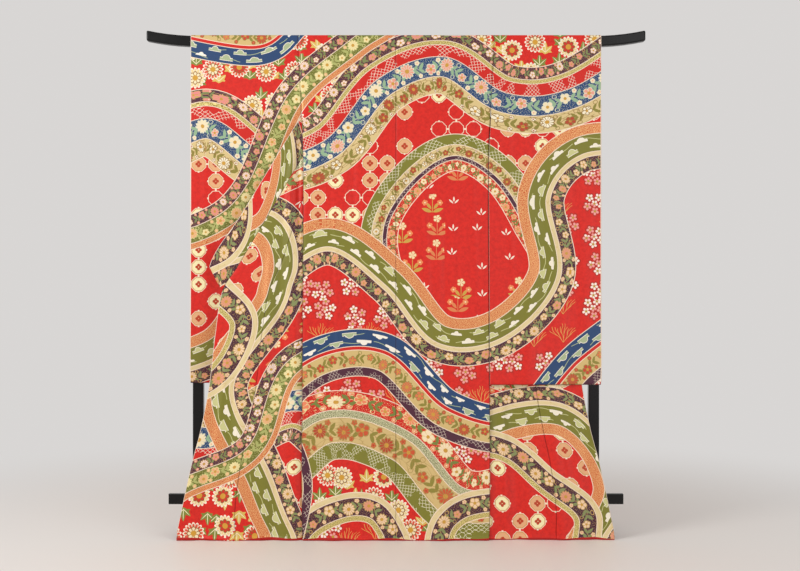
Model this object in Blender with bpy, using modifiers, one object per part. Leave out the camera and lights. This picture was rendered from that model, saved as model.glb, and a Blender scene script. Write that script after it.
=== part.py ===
"""A long-sleeved silk kimono hung by its shoulders on a black lacquered stand.

The back of the garment faces -Y. The stand's rail runs through both sleeves. Each front panel hangs behind
the back, is turned over along a tuck and drawn out sideways, so that its outer face shows beside the back. The
left one passes in front of its sleeve and the right one stays behind its sleeve. Heights are above the floor.
"""

import bisect
import math
from collections import namedtuple

import bmesh
import bpy

# Cloth
WALL = 0.002
SEAM_GAP = 0.0003
SHOULDER = 1.628
ON_RAIL_GAP = 0.0006
FRONT_WIDE = 0.240
OKUMI_TOP = 1.365

# The tuck along which a front turns over. It starts in the neck, some way in from the front's edge, and is
# drawn further from that edge while the front twists. Lower down it lies where the front's own edge puts it.
ROLL = 0.003
TUCK_FROM_EDGE, TUCK_DRAWN_IN = 0.042, 0.025
TWIST_TOP, TWIST_TALL = 1.600, 0.160
LEAST_TUCK = 0.008

# Beside the back, each front lies this far behind it, and goes over to that depth within so much width
LEFT_BEHIND, RIGHT_BEHIND = 0.0010, 0.0125
STEP_START, STEP_WIDE = 0.001, 0.024

# Sleeve. Below RIGHT_DRAWN_FROM the right one's outer edge is drawn in, by so much for each metre down.
ARMHOLE_END = 1.388
FREE_EDGE_GAP = 0.0018
CUFF_END = 1.398
RIGHT_DRAWN_FROM, RIGHT_DRAWN_IN = 1.50, 0.014

# Collar: its end is cut square, so its seam and its free edge end at different heights. The rows of cloth
# slant to that end within COLLAR_SLANT_TALL below COLLAR_SLANT_TOP. Its neck seam lies just behind the rail.
COLLAR_END_SEAM = 0.793
COLLAR_END_FREE = 0.867
COLLAR_SLANT_TOP, COLLAR_SLANT_TALL = 1.50, 0.30
COLLAR_BEHIND_RAIL = 0.0010

# Heights of the rows of cloth. Pieces that meet at a seam share them.
BACK_HEIGHTS = [0, 0.012, 0.03, 0.08, 0.17, 0.30, 0.45, 0.62, 0.80, 0.99, 1.16, 1.30]
BACK_HEIGHTS += [1.388, 1.47, 1.54, 1.585]
FRONT_HEIGHTS = [1.585, 1.56, 1.535, 1.51, 1.485, 1.46, 1.425, 1.388, 1.365, 1.32, 1.25, 1.15, 1.04, 0.92]
FRONT_HEIGHTS += [0.793, 0.68, 0.54, 0.40, 0.27, 0.16, 0.08, 0.03, 0.012, 0]
SLEEVE_HEIGHTS = [1.585, 1.54, 1.49, 1.44, 1.398, 1.388, 1.368, 1.34, 1.25, 1.12, 0.97, 0.80]
SLEEVE_HEIGHTS += [0.65, 0.54, 0.50, 0.492]
SLEEVE_SHARES = [0, 0.10, 0.25, 0.40, 0.55, 0.70, 0.85, 0.94, 1]
BACK_EVENED_BY = 0.5

# Stand
RAIL_LONG, RAIL_TALL, RAIL_DEEP = 1.634, 0.034, 0.030
RAIL_TOP = SHOULDER - WALL - ON_RAIL_GAP
RAIL_BEVEL = 0.005
RAIL_TIP_RISE, RAIL_TIP_RUN = 0.018, 0.170
POST_X, POST_WIDE, POST_DEEP = 0.648, 0.034, 0.030
BAR_LONG, BAR_TALL, BAR_DEEP, BAR_MIDDLE = 1.490, 0.033, 0.018, 0.108
FOOT_FRONT, FOOT_BACK, FOOT_TALL, FOOT_WIDE, FOOT_SLANT = -0.116, 0.1505, 0.036, 0.060, 0.022
POST_BEVEL, FOOT_BEVEL = 0.003, 0.004
JOINT_GAP = 0.0003

# Sections of the body from the shoulder to the floor. side is the side seam's distance from the middle, back
# and front are the depths of the back panel and of the front panel behind it, edge is how far the front's own
# edge lies from the middle, turn is how far the front has turned over its tuck, in degrees, okumi is that
# strip's width, collar is the collar's width across the section.
Section = namedtuple("Section", "height side back front edge turn okumi collar")
SECTIONS = [
    Section(1.6205, 0.3220, -0.0168, 0.0168, 0.0300, 0, 0.0000, 0.0550),
    Section(1.5850, 0.3205, -0.0190, 0.0178, 0.0400, 12, 0.0000, 0.0560),
    Section(1.5400, 0.3185, -0.0225, 0.0110, 0.0800, 62, 0.0000, 0.0580),
    Section(1.4900, 0.3150, -0.0270, -0.0030, 0.1700, 132, 0.0000, 0.0600),
    Section(1.4400, 0.3120, -0.0318, -0.0190, 0.2400, 180, 0.0000, 0.0620),
    Section(1.3880, 0.3090, -0.0367, -0.0300, 0.2880, 180, 0.0010, 0.0680),
    Section(1.3300, 0.3055, -0.0413, -0.0370, 0.3260, 180, 0.0170, 0.0760),
    Section(1.2500, 0.3010, -0.0475, -0.0445, 0.3740, 180, 0.0380, 0.0830),
    Section(1.1500, 0.2990, -0.0553, -0.0523, 0.4330, 180, 0.0640, 0.0860),
    Section(1.0390, 0.2985, -0.0640, -0.0608, 0.4990, 180, 0.0930, 0.0880),
    Section(0.8670, 0.2985, -0.0774, -0.0740, 0.6010, 180, 0.1370, 0.0900),
    Section(0.7930, 0.2985, -0.0832, -0.0798, 0.5570, 180, 0.1500, 0.0000),
    Section(0.6490, 0.2985, -0.0944, -0.0910, 0.5800, 180, 0.1500, 0.0000),
    Section(0.4960, 0.2985, -0.1063, -0.1029, 0.5960, 180, 0.1500, 0.0000),
    Section(0.3500, 0.2985, -0.1177, -0.1143, 0.6220, 180, 0.1520, 0.0000),
    Section(0.2500, 0.2985, -0.1255, -0.1221, 0.6475, 180, 0.1570, 0.0000),
    Section(0.1500, 0.2975, -0.1333, -0.1299, 0.6690, 180, 0.1640, 0.0000),
    Section(0.0800, 0.2965, -0.1388, -0.1354, 0.6830, 180, 0.1730, 0.0000),
    Section(0.0300, 0.2955, -0.1425, -0.1391, 0.6930, 180, 0.1845, 0.0000),
    Section(0.0120, 0.2950, -0.1435, -0.1401, 0.6940, 180, 0.1850, 0.0000),
    Section(0.0000, 0.2950, -0.1435, -0.1401, 0.6930, 180, 0.1840, 0.0000),
]

# Sections of the sleeves. out is the outer edge of the near layer, far_out that of the far layer, which is
# drawn in beside the post at the wrist opening. left_in to right_out are the near layer's depths at the body
# and at the outer edge, gap_in and gap_out the distance from the near layer to the far one there.
Sleeve = namedtuple("Sleeve", "height out far_out left_in left_out right_in right_out gap_in gap_out")
SLEEVES = [
    Sleeve(1.6205, 0.6710, 0.6710, -0.0168, -0.0168, -0.0168, -0.0168, 0.0336, 0.0336),
    Sleeve(1.5850, 0.6710, 0.6180, -0.0190, -0.0180, -0.0190, -0.0180, 0.0368, 0.0358),
    Sleeve(1.5400, 0.6705, 0.6120, -0.0225, -0.0205, -0.0225, -0.0205, 0.0335, 0.0195),
    Sleeve(1.4900, 0.6705, 0.6170, -0.0270, -0.0240, -0.0270, -0.0240, 0.0240, 0.0052),
    Sleeve(1.4400, 0.6700, 0.6450, -0.0318, -0.0240, -0.0318, -0.0260, 0.0128, 0.0048),
    Sleeve(1.3980, 0.6700, 0.6700, -0.0357, -0.0240, -0.0357, -0.0285, 0.0075, 0.0046),
    Sleeve(1.3880, 0.6700, 0.6700, -0.0367, -0.0240, -0.0367, -0.0290, 0.0067, 0.0046),
    Sleeve(1.3680, 0.6700, 0.6700, -0.0265, -0.0240, -0.0392, -0.0303, 0.0057, 0.0046),
    Sleeve(1.3400, 0.6700, 0.6700, -0.0240, -0.0240, -0.0430, -0.0325, 0.0055, 0.0046),
    Sleeve(1.2500, 0.6700, 0.6700, -0.0235, -0.0240, -0.0515, -0.0395, 0.0052, 0.0046),
    Sleeve(1.0390, 0.6700, 0.6700, -0.0230, -0.0245, -0.0680, -0.0570, 0.0052, 0.0046),
    Sleeve(0.7930, 0.6705, 0.6705, -0.0230, -0.0245, -0.0872, -0.0770, 0.0052, 0.0046),
    Sleeve(0.6490, 0.6710, 0.6710, -0.0230, -0.0245, -0.0984, -0.0885, 0.0050, 0.0046),
    Sleeve(0.5300, 0.6715, 0.6715, -0.0230, -0.0245, -0.1077, -0.0980, 0.0048, 0.0046),
    Sleeve(0.4920, 0.6700, 0.6700, -0.0230, -0.0245, -0.1107, -0.1010, 0.0046, 0.0046),
]

# Soft folds. place is the distance from the middle, drift how far it moves outward towards the low end, deep
# how far the fold stands off towards the back (+Y), half is half its width, top and low its two ends' heights.
Fold = namedtuple("Fold", "piece side place drift half deep top low")
FOLDS = [
    Fold("front", -1, 0.345, 0.045, 0.040, 0.0080, 1.15, 0.02),
    Fold("front", -1, 0.455, 0.070, 0.045, -0.0070, 0.86, 0.00),
    Fold("front", -1, 0.560, 0.060, 0.035, 0.0060, 0.62, 0.00),
    Fold("front", 1, 0.350, 0.040, 0.040, 0.0070, 0.95, 0.02),
    Fold("front", 1, 0.470, 0.060, 0.045, -0.0070, 0.80, 0.00),
    Fold("front", 1, 0.580, 0.055, 0.030, 0.0060, 0.55, 0.00),
    Fold("back", -1, 0.170, 0.030, 0.050, -0.0060, 0.75, 0.00),
    Fold("back", -1, 0.085, -0.015, 0.040, 0.0045, 0.60, 0.00),
    Fold("back", 1, 0.120, 0.025, 0.050, -0.0065, 0.70, 0.00),
    Fold("back", 1, 0.215, 0.015, 0.035, 0.0050, 0.55, 0.00),
    Fold("sleeve", -1, 0.420, 0.010, 0.045, 0.0060, 1.50, 0.49),
    Fold("sleeve", -1, 0.560, -0.010, 0.040, -0.0050, 1.40, 0.49),
    Fold("sleeve", 1, 0.430, -0.008, 0.050, -0.0050, 1.50, 0.49),
    Fold("sleeve", 1, 0.575, 0.008, 0.040, 0.0045, 1.40, 0.49),
]

LACQUER = ("black lacquered wood", "141414", 0.22)
SILK = ("vermilion silk", "c8201c", 0.55)


def linear(hexed):
    """A colour written as sRGB hex, in linear light"""
    channels = [int(hexed[k : k + 2], 16) / 255 for k in (0, 2, 4)]
    return [c / 12.92 if c <= 0.04045 else ((c + 0.055) / 1.055) ** 2.4 for c in channels]


def finish(thing, kind):
    """Give an object its own material"""
    label, hexed, roughness = kind
    material = bpy.data.materials.new(f"{thing.name} {label}")
    material.use_nodes = True
    shader = material.node_tree.nodes["Principled BSDF"]
    shader.inputs["Base Color"].default_value = (*linear(hexed), 1)
    shader.inputs["Roughness"].default_value = roughness
    thing.data.materials.append(material)


def value_at(table, column, height):
    """A column of a table at any height, along a smooth curve through its rows"""
    heights = [-row.height for row in table]
    spot = min(max(bisect.bisect_right(heights, -height) - 1, 0), len(table) - 2)

    def slope(k):
        low, high = max(k - 1, 0), min(k + 1, len(table) - 1)
        rise = getattr(table[high], column) - getattr(table[low], column)
        return rise / (heights[high] - heights[low])

    span = heights[spot + 1] - heights[spot]
    t = min(max((-height - heights[spot]) / span, 0), 1)
    start, end = getattr(table[spot], column), getattr(table[spot + 1], column)
    return (
        start * (1 + 2 * t) * (1 - t) ** 2
        + end * t * t * (3 - 2 * t)
        + span * t * (1 - t) * (slope(spot) * (1 - t) - slope(spot + 1) * t)
    )


def ease(value):
    """0 to 1 with a soft start and end"""
    value = min(max(value, 0), 1)
    return value * value * (3 - 2 * value)


def folded(piece, side, x, height):
    """How far the soft folds move the cloth towards the back at this place"""
    moved = 0
    for fold in FOLDS:
        if fold.piece != piece or fold.side != side or height > fold.top:
            continue
        along = (fold.top - height) / (fold.top - fold.low)
        off = abs(x - fold.place - fold.drift * along) / fold.half
        if off < 1:
            moved += fold.deep * ease(along * 1.6) * (0.5 + 0.5 * math.cos(math.pi * off))
    return moved


def back_point(side, across, height):
    """A point of the back, with across from 0 at the side seam to 1 at the middle of the back"""
    seam = value_at(SECTIONS, "side", height) - SEAM_GAP / 2
    x = seam + (SEAM_GAP / 2 - seam) * across
    depth = value_at(SECTIONS, "back", height)
    return side * x, depth + folded("back", side, x, height) * math.sin(math.pi * across), height


def tuck_at(height):
    """How far the front panel goes behind the back before it turns over, worked out from where its edge lies"""
    side, edge, turn, okumi, collar = (
        value_at(SECTIONS, column, height) for column in ("side", "edge", "turn", "okumi", "collar")
    )
    if turn < 179:
        return FRONT_WIDE - TUCK_FROM_EDGE - TUCK_DRAWN_IN * ease((TWIST_TOP - height) / TWIST_TALL)
    return max((side + FRONT_WIDE + okumi + collar - math.pi * ROLL - edge) / 2, LEAST_TUCK)


def front_point(side, across, height):
    """A point of a front, with across in metres of cloth from the side seam towards the front edge"""
    seam, back, front, turn = (
        value_at(SECTIONS, column, height) for column in ("side", "back", "front", "turn")
    )
    seam -= SEAM_GAP / 2
    turn = math.radians(min(max(turn, 0), 180))
    tuck = tuck_at(height)
    beyond = across - tuck
    if beyond <= 0:
        return side * (seam - across), front, height
    angle = min(beyond / ROLL, turn)
    run = beyond - ROLL * angle
    x = seam - tuck - ROLL * math.sin(angle) - run * math.cos(angle)
    depth = front + ROLL * (1 - math.cos(angle)) + run * math.sin(angle)
    if x > seam:
        beside = back + (LEFT_BEHIND if side < 0 else RIGHT_BEHIND) + folded("front", side, x, height)
        depth += (beside - depth) * ease((x - seam - STEP_START) / STEP_WIDE)
    return side * x, depth, height


def over_rail(side, x):
    """Points across the top of the rail, near side to far side"""
    reach = RAIL_BEVEL + WALL / 2 + ON_RAIL_GAP
    middle = RAIL_DEEP / 2 - RAIL_BEVEL + 0.0002
    near = []
    for step in range(4):
        angle = math.radians(30 * step)
        depth, height = -middle - reach * math.cos(angle), RAIL_TOP - RAIL_BEVEL + reach * math.sin(angle)
        near.append((side * x, depth, height))
    return near + [(across, -depth, height) for across, depth, height in reversed(near)]


def cloth_object(name, rows, collection, closed=False, shut=()):
    """A wall of cloth through rows of points. A closed row is a ring. shut lists more faces by row and column"""
    mesh = bpy.data.meshes.new(name)
    builder = bmesh.new()
    grid = [[builder.verts.new(point) for point in row] for row in rows]
    for above, below in zip(grid, grid[1:]):
        count = min(len(above), len(below))
        for k in range(count if closed else count - 1):
            after = (k + 1) % count
            builder.faces.new((above[k], above[after], below[after], below[k]))
    for corners in shut:
        builder.faces.new([grid[row][column] for row, column in corners])
    bmesh.ops.recalc_face_normals(builder, faces=builder.faces)
    builder.to_mesh(mesh)
    builder.free()
    mesh.shade_smooth()
    thing = bpy.data.objects.new(name, mesh)
    collection.objects.link(thing)
    wall = thing.modifiers.new("wall", "SOLIDIFY")
    wall.thickness = WALL
    wall.offset = 0
    finish(thing, SILK)
    return thing


def cloth_places(height):
    """Distances across a front panel at which its columns lie, closer together round the tuck"""
    tuck = tuck_at(height)
    round_tuck = [tuck + ROLL * math.pi * k / 3 for k in range(4)]
    inner = FRONT_WIDE - SEAM_GAP
    last = round_tuck[-1]
    return [tuck * k / 3 for k in range(3)] + round_tuck + [last + (inner - last) * k / 4 for k in range(1, 5)]


def make_body(side, name, collection):
    """One length of silk from the back hem over the shoulder to the front hem"""
    top = SECTIONS[0]
    at_top = cloth_places(top.height)
    seam = top.side - SEAM_GAP / 2
    neck = [at_top[-1] + (seam - SEAM_GAP / 2 - at_top[-1]) * k / 3 for k in range(1, 4)]
    shares = [place / (seam - SEAM_GAP / 2) for place in at_top + neck]
    evenly = [k / (len(shares) - 1) for k in range(len(shares))]
    rows = []
    for height in BACK_HEIGHTS:
        even = ease((top.height - height) / BACK_EVENED_BY)
        rows.append(
            [back_point(side, share + (flat - share) * even, height) for share, flat in zip(shares, evenly)]
        )
    columns = [over_rail(side, seam - place) for place in at_top + neck]
    rows += [list(row) for row in zip(*columns)]
    for height in FRONT_HEIGHTS:
        rows.append([front_point(side, place, height) for place in cloth_places(height)])
    return cloth_object(name, rows, collection)


def make_okumi(side, name, collection):
    """The overlap strip along the front panel's inner edge"""
    rows = []
    for height in [level for level in FRONT_HEIGHTS if level <= OKUMI_TOP]:
        wide = value_at(SECTIONS, "okumi", height)
        if height <= COLLAR_END_SEAM:
            last = FRONT_WIDE + wide
        else:
            last = FRONT_WIDE + wide - SEAM_GAP
        rows.append([front_point(side, FRONT_WIDE + (last - FRONT_WIDE) * k / 4, height) for k in range(5)])
    return cloth_object(name, rows, collection)


def make_sleeve(side, name, collection):
    """One length folded over the rail, sewn along the bottom and up the outer edge to the wrist opening"""
    inner_column, outer_column = ("left_in", "left_out") if side < 0 else ("right_in", "right_out")

    def point(share, height, far):
        out, drawn, inner, outer, gap_in, gap_out = (
            value_at(SLEEVES, column, height)
            for column in ("out", "far_out", inner_column, outer_column, "gap_in", "gap_out")
        )
        start = value_at(SECTIONS, "side", height) + SEAM_GAP / 2
        start += FREE_EDGE_GAP * ease((ARMHOLE_END - height) / 0.02)
        end = drawn if far else out
        if side > 0:
            end -= RIGHT_DRAWN_IN * max(RIGHT_DRAWN_FROM - height, 0)
        x = start + (end - start) * share
        depth = inner + (outer - inner) * share
        depth += folded("sleeve", side, x, height) * math.sin(math.pi * share)
        if far:
            depth += gap_in + (gap_out - gap_in) * share
        return side * x, depth, height

    rows = []
    top_out = SLEEVES[0].out
    top_in = SECTIONS[0].side + SEAM_GAP / 2
    for share in SLEEVE_SHARES:
        near = [point(share, height, False) for height in reversed(SLEEVE_HEIGHTS)]
        far = [point(share, height, True) for height in SLEEVE_HEIGHTS]
        rows.append(near + over_rail(side, top_in + (top_out - top_in) * share) + far)
    last = len(SLEEVE_SHARES) - 1
    ring = len(rows[0])
    below_cuff = sum(height <= CUFF_END for height in SLEEVE_HEIGHTS)
    shut = [
        ((last, k), (last, k + 1), (last, ring - 2 - k), (last, ring - 1 - k)) for k in range(below_cuff - 1)
    ]
    return cloth_object(name, rows, collection, closed=True, shut=shut)


def make_collar(name, collection):
    """One band round the neck and down both fronts, cut square at its two ends"""
    neck_seam_height = RAIL_TOP - RAIL_BEVEL - SEAM_GAP
    neck_side = SECTIONS[0].side - FRONT_WIDE - WALL
    depth = RAIL_DEEP / 2 + WALL / 2 + COLLAR_BEHIND_RAIL
    seam_heights = [level for level in FRONT_HEIGHTS if level >= COLLAR_END_SEAM]
    half = []
    for x, height, free_x, free_depth, free_height in (
        (0.0, neck_seam_height, 0.0, 0.0270, 1.5650),
        (neck_side / 2, neck_seam_height, 0.023, 0.0280, 1.5655),
        (neck_side, neck_seam_height - 0.002, 0.038, 0.0330, 1.5680),
    ):
        start, end = (x, depth, height), (free_x, free_depth, free_height)
        half.append([tuple(a + (b - a) * k / 3 for a, b in zip(start, end)) for k in range(4)])
    rise = COLLAR_END_FREE - COLLAR_END_SEAM
    for height in seam_heights:
        lift = rise * ease((COLLAR_SLANT_TOP - height) / COLLAR_SLANT_TALL)
        row = []
        for k in range(4):
            level = height + lift * k / 3
            inner = FRONT_WIDE + value_at(SECTIONS, "okumi", level) + SEAM_GAP / 2
            wide = value_at(SECTIONS, "collar", max(level, COLLAR_END_FREE))
            row.append((inner + wide * k / 3, level))
        half.append(row)
    rows = []
    for side in (-1, 1):
        made = []
        for row in half:
            if len(row[0]) == 3:
                made.append([(side * x, depth, height) for x, depth, height in row])
            else:
                made.append([front_point(side, across, level) for across, level in row])
        rows = list(reversed(made)) if side < 0 else rows + made[1:]
    return cloth_object(name, rows, collection)


def bevelled(thing, width, segments=2):
    """Soft edges, as lacquered wood has"""
    edge = thing.modifiers.new("edge", "BEVEL")
    edge.width = width
    edge.segments = segments
    edge.limit_method = "ANGLE"


def outline_object(name, points, thick, bevel, turned, collection):
    """A flat outline with half its thickness on each side, turned to stand up"""
    curve = bpy.data.curves.new(name, "CURVE")
    curve.dimensions = "2D"
    curve.fill_mode = "BOTH"
    curve.extrude = thick / 2
    spline = curve.splines.new("POLY")
    spline.points.add(len(points) - 1)
    for spot, (across, up) in zip(spline.points, points):
        spot.co = (across, up, 0, 1)
    spline.use_cyclic_u = True
    thing = bpy.data.objects.new(name, curve)
    thing.rotation_euler = turned
    collection.objects.link(thing)
    weld = thing.modifiers.new("weld", "WELD")
    weld.merge_threshold = 0.0001
    whole = thing.modifiers.new("whole faces", "DECIMATE")
    whole.decimate_type = "DISSOLVE"
    whole.angle_limit = math.radians(0.2)
    bevelled(thing, bevel)
    finish(thing, LACQUER)
    return thing


def make_rail(collection):
    """The top rail, straight with gently rising ends"""
    half = RAIL_LONG / 2
    tip = [half - RAIL_TIP_RUN + RAIL_TIP_RUN * k / 5 for k in range(6)]

    def lifted(x):
        return RAIL_TIP_RISE * max((abs(x) - half + RAIL_TIP_RUN) / RAIL_TIP_RUN, 0) ** 2

    stations = [-x for x in reversed(tip)] + tip
    top = [(x, RAIL_TOP + lifted(x)) for x in stations]
    under = [(x, RAIL_TOP - RAIL_TALL + lifted(x)) for x in reversed(stations)]
    return outline_object("rail", top + under, RAIL_DEEP, RAIL_BEVEL, (math.pi / 2, 0, 0), collection)


def box_object(name, middle, size, collection):
    """A board from a cube primitive, with its scale in its mesh"""
    bpy.ops.mesh.primitive_cube_add(size=1, location=middle)
    thing = bpy.context.active_object
    thing.name = name
    thing.data.name = name
    for corner in thing.data.vertices:
        corner.co = [place * length for place, length in zip(corner.co, size)]
    for holder in list(thing.users_collection):
        holder.objects.unlink(thing)
    collection.objects.link(thing)
    return thing


def make_post(side, name, collection, cutters):
    """An upright from its foot to the rail, with a mortise that the crossbar runs through"""
    low, high = FOOT_TALL + JOINT_GAP, RAIL_TOP - RAIL_TALL - JOINT_GAP
    post = box_object(
        name, (side * POST_X, 0, (low + high) / 2), (POST_WIDE, POST_DEEP, high - low), collection
    )
    mortise = box_object(
        f"{name}_mortise",
        (side * POST_X, 0, BAR_MIDDLE),
        (POST_WIDE * 2, BAR_DEEP + 2 * JOINT_GAP, BAR_TALL + 2 * JOINT_GAP),
        cutters,
    )
    mortise.hide_render = True
    mortise.display_type = "WIRE"
    bevelled(post, POST_BEVEL)
    cut = post.modifiers.new("mortise", "BOOLEAN")
    cut.object = mortise
    cut.operation = "DIFFERENCE"
    finish(post, LACQUER)


def make_foot(side, name, collection):
    """A board from front to back with its upper corners cut off slantwise, flat underneath"""
    points = [
        (FOOT_FRONT, 0),
        (FOOT_BACK, 0),
        (FOOT_BACK, FOOT_TALL - FOOT_SLANT),
        (FOOT_BACK - FOOT_SLANT, FOOT_TALL),
        (FOOT_FRONT + FOOT_SLANT, FOOT_TALL),
        (FOOT_FRONT, FOOT_TALL - FOOT_SLANT),
    ]
    turned = (math.pi / 2, 0, math.pi / 2)
    foot = outline_object(name, points, FOOT_WIDE, FOOT_BEVEL, turned, collection)
    foot.location = (side * POST_X, 0, 0)


for thing in list(bpy.data.objects):
    bpy.data.objects.remove(thing)
kimono = bpy.data.collections.new("kimono on its stand")
cutters = bpy.data.collections.new("cutters")
for collection in (kimono, cutters):
    bpy.context.scene.collection.children.link(collection)

make_rail(kimono)
crossbar = box_object("crossbar", (0, 0, BAR_MIDDLE), (BAR_LONG, BAR_DEEP, BAR_TALL), kimono)
finish(crossbar, LACQUER)
for side, label in ((-1, "left"), (1, "right")):
    make_post(side, f"post_{label}", kimono, cutters)
    make_foot(side, f"foot_{label}", kimono)
    make_body(side, f"body_{label}", kimono)
    make_okumi(side, f"okumi_{label}", kimono)
    make_sleeve(side, f"sleeve_{label}", kimono)
make_collar("collar", kimono)
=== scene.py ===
"""A long-sleeved silk kimono hung on a black lacquered stand: its cloth, dyed pattern, finishes and light"""

import math
from collections import namedtuple

import bmesh
import bpy
import numpy as np
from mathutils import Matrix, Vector


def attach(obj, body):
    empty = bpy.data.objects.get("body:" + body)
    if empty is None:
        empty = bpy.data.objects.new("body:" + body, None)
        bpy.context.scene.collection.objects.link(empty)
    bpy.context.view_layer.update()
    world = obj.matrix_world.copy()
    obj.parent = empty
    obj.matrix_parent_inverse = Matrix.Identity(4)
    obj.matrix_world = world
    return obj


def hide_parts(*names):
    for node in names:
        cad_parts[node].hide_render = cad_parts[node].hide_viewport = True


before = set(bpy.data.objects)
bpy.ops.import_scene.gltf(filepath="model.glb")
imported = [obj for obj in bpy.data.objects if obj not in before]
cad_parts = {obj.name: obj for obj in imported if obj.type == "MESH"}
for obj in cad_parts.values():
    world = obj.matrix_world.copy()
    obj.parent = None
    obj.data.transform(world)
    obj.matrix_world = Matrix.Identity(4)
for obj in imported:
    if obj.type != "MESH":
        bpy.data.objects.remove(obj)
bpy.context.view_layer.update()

# The dyed pattern of the whole garment, painted on the silk before it is sewn: broad ribbons that flow across
# back, sleeves and fronts, each of several stripes, over a vermilion ground with scattered flowers.
# A ribbon's route is in metres on the flat cloth, across from the middle of the back and up from the hem. It
# covers those of lower layers, and raises says how far the ground to its left moves on in FIELDS.
Ribbon = namedtuple("Ribbon", "layer style raises route")
RIBBONS = [
    Ribbon(0, 0, 1, [(-0.85, 1.22), (-0.62, 1.34), (-0.42, 1.22), (-0.22, 1.27), (-0.05, 1.47), (0.16, 1.54),
                  (0.36, 1.42), (0.58, 1.44), (0.85, 1.62)]),
    Ribbon(0, 1, 1, [(-0.80, 0.10), (-0.45, 0.19), (-0.22, 0.36), (0.02, 0.30), (0.20, 0.12), (0.42, 0.15),
                  (0.80, 0.32)]),
    Ribbon(0, 1, 1, [(-0.85, 1.98), (-0.50, 2.12), (-0.20, 1.96), (0.10, 2.10), (0.45, 1.98), (0.85, 2.15)]),
    Ribbon(0, 0, 1, [(-0.80, 2.90), (-0.45, 2.98), (-0.22, 2.86), (0.05, 2.98), (0.35, 2.86), (0.80, 3.02)]),
    Ribbon(1, 2, 1, [(-0.85, 0.52), (-0.58, 0.60), (-0.42, 0.82), (-0.22, 0.95), (-0.02, 0.82), (0.14, 0.64),
                  (0.34, 0.66), (0.50, 0.84), (0.47, 1.10), (0.60, 1.25), (0.85, 1.26)]),
    Ribbon(1, 3, 1, [(-0.80, 1.66), (-0.46, 1.60), (-0.32, 1.70), (-0.10, 1.76), (0.20, 1.70), (0.50, 1.78),
                  (0.85, 1.72)]),
    Ribbon(1, 2, 1, [(-0.32, 3.45), (-0.16, 3.10), (0.02, 2.80), (-0.12, 2.50), (0.02, 2.26), (0.40, 2.34),
                  (0.85, 2.55)]),
    Ribbon(2, 3, 0, [(0.85, 0.74), (0.60, 0.56), (0.40, 0.36), (0.16, 0.40), (-0.04, 0.58), (-0.26, 0.56),
                  (-0.40, 0.40), (-0.34, 0.16), (-0.42, -0.15)]),
    Ribbon(2, 4, 0, [(-0.85, 0.94), (-0.62, 1.00), (-0.48, 1.12), (-0.34, 1.42), (-0.14, 1.60), (0.02, 1.72),
                  (0.20, 2.00), (0.60, 2.20), (0.85, 2.40)]),
    Ribbon(2, 5, 0, [(0.12, -0.15), (0.16, 0.06), (0.34, 0.12), (0.62, 0.06), (0.85, 0.10)]),
    Ribbon(0, 6, 3, [(0.34, 0.66), (0.50, 0.84), (0.43, 1.02), (0.33, 1.17), (0.19, 1.24), (0.05, 1.16),
                  (-0.05, 1.00), (-0.02, 0.82), (0.14, 0.64), (0.34, 0.66)]),
    Ribbon(2, 5, 0, [(0.60, 2.40), (0.26, 2.36), (0.10, 2.48), (-0.02, 2.60), (0.06, 2.78), (0.30, 2.84),
                  (0.60, 2.80)]),
    Ribbon(1, 5, 1, [(-0.42, -0.15), (-0.26, 0.06), (-0.06, 0.09), (0.06, -0.15)]),
    Ribbon(2, 4, 0, [(0.24, 3.45), (0.14, 3.14), (-0.10, 3.00), (-0.22, 2.70), (-0.85, 2.60)]),
]
# Each style's stripes side by side: how wide each is, in metres, and what fills it
STYLES = [
    [(0.058, "branches"), (0.066, "navy vine"), (0.040, "red fret"), (0.014, "gold speckle"),
     (0.042, "plum flowers")],
    [(0.054, "olive lattice"), (0.078, "cream blossoms"), (0.024, "grey speckle"), (0.062, "red vine")],
    [(0.046, "aubergine vine"), (0.014, "pale"), (0.058, "olive clouds"), (0.036, "orange speckle")],
    [(0.056, "navy clouds"), (0.012, "red"), (0.054, "cream vine"), (0.030, "aubergine fret")],
    [(0.020, "orange speckle"), (0.050, "olive vine"), (0.042, "plum flowers")],
    [(0.018, "gold speckle"), (0.056, "aubergine vine"), (0.018, "pale")],
    [(0.036, "olive lattice"), (0.036, "branches"), (0.014, "aubergine fret"), (0.036, "red vine")],
]
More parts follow.
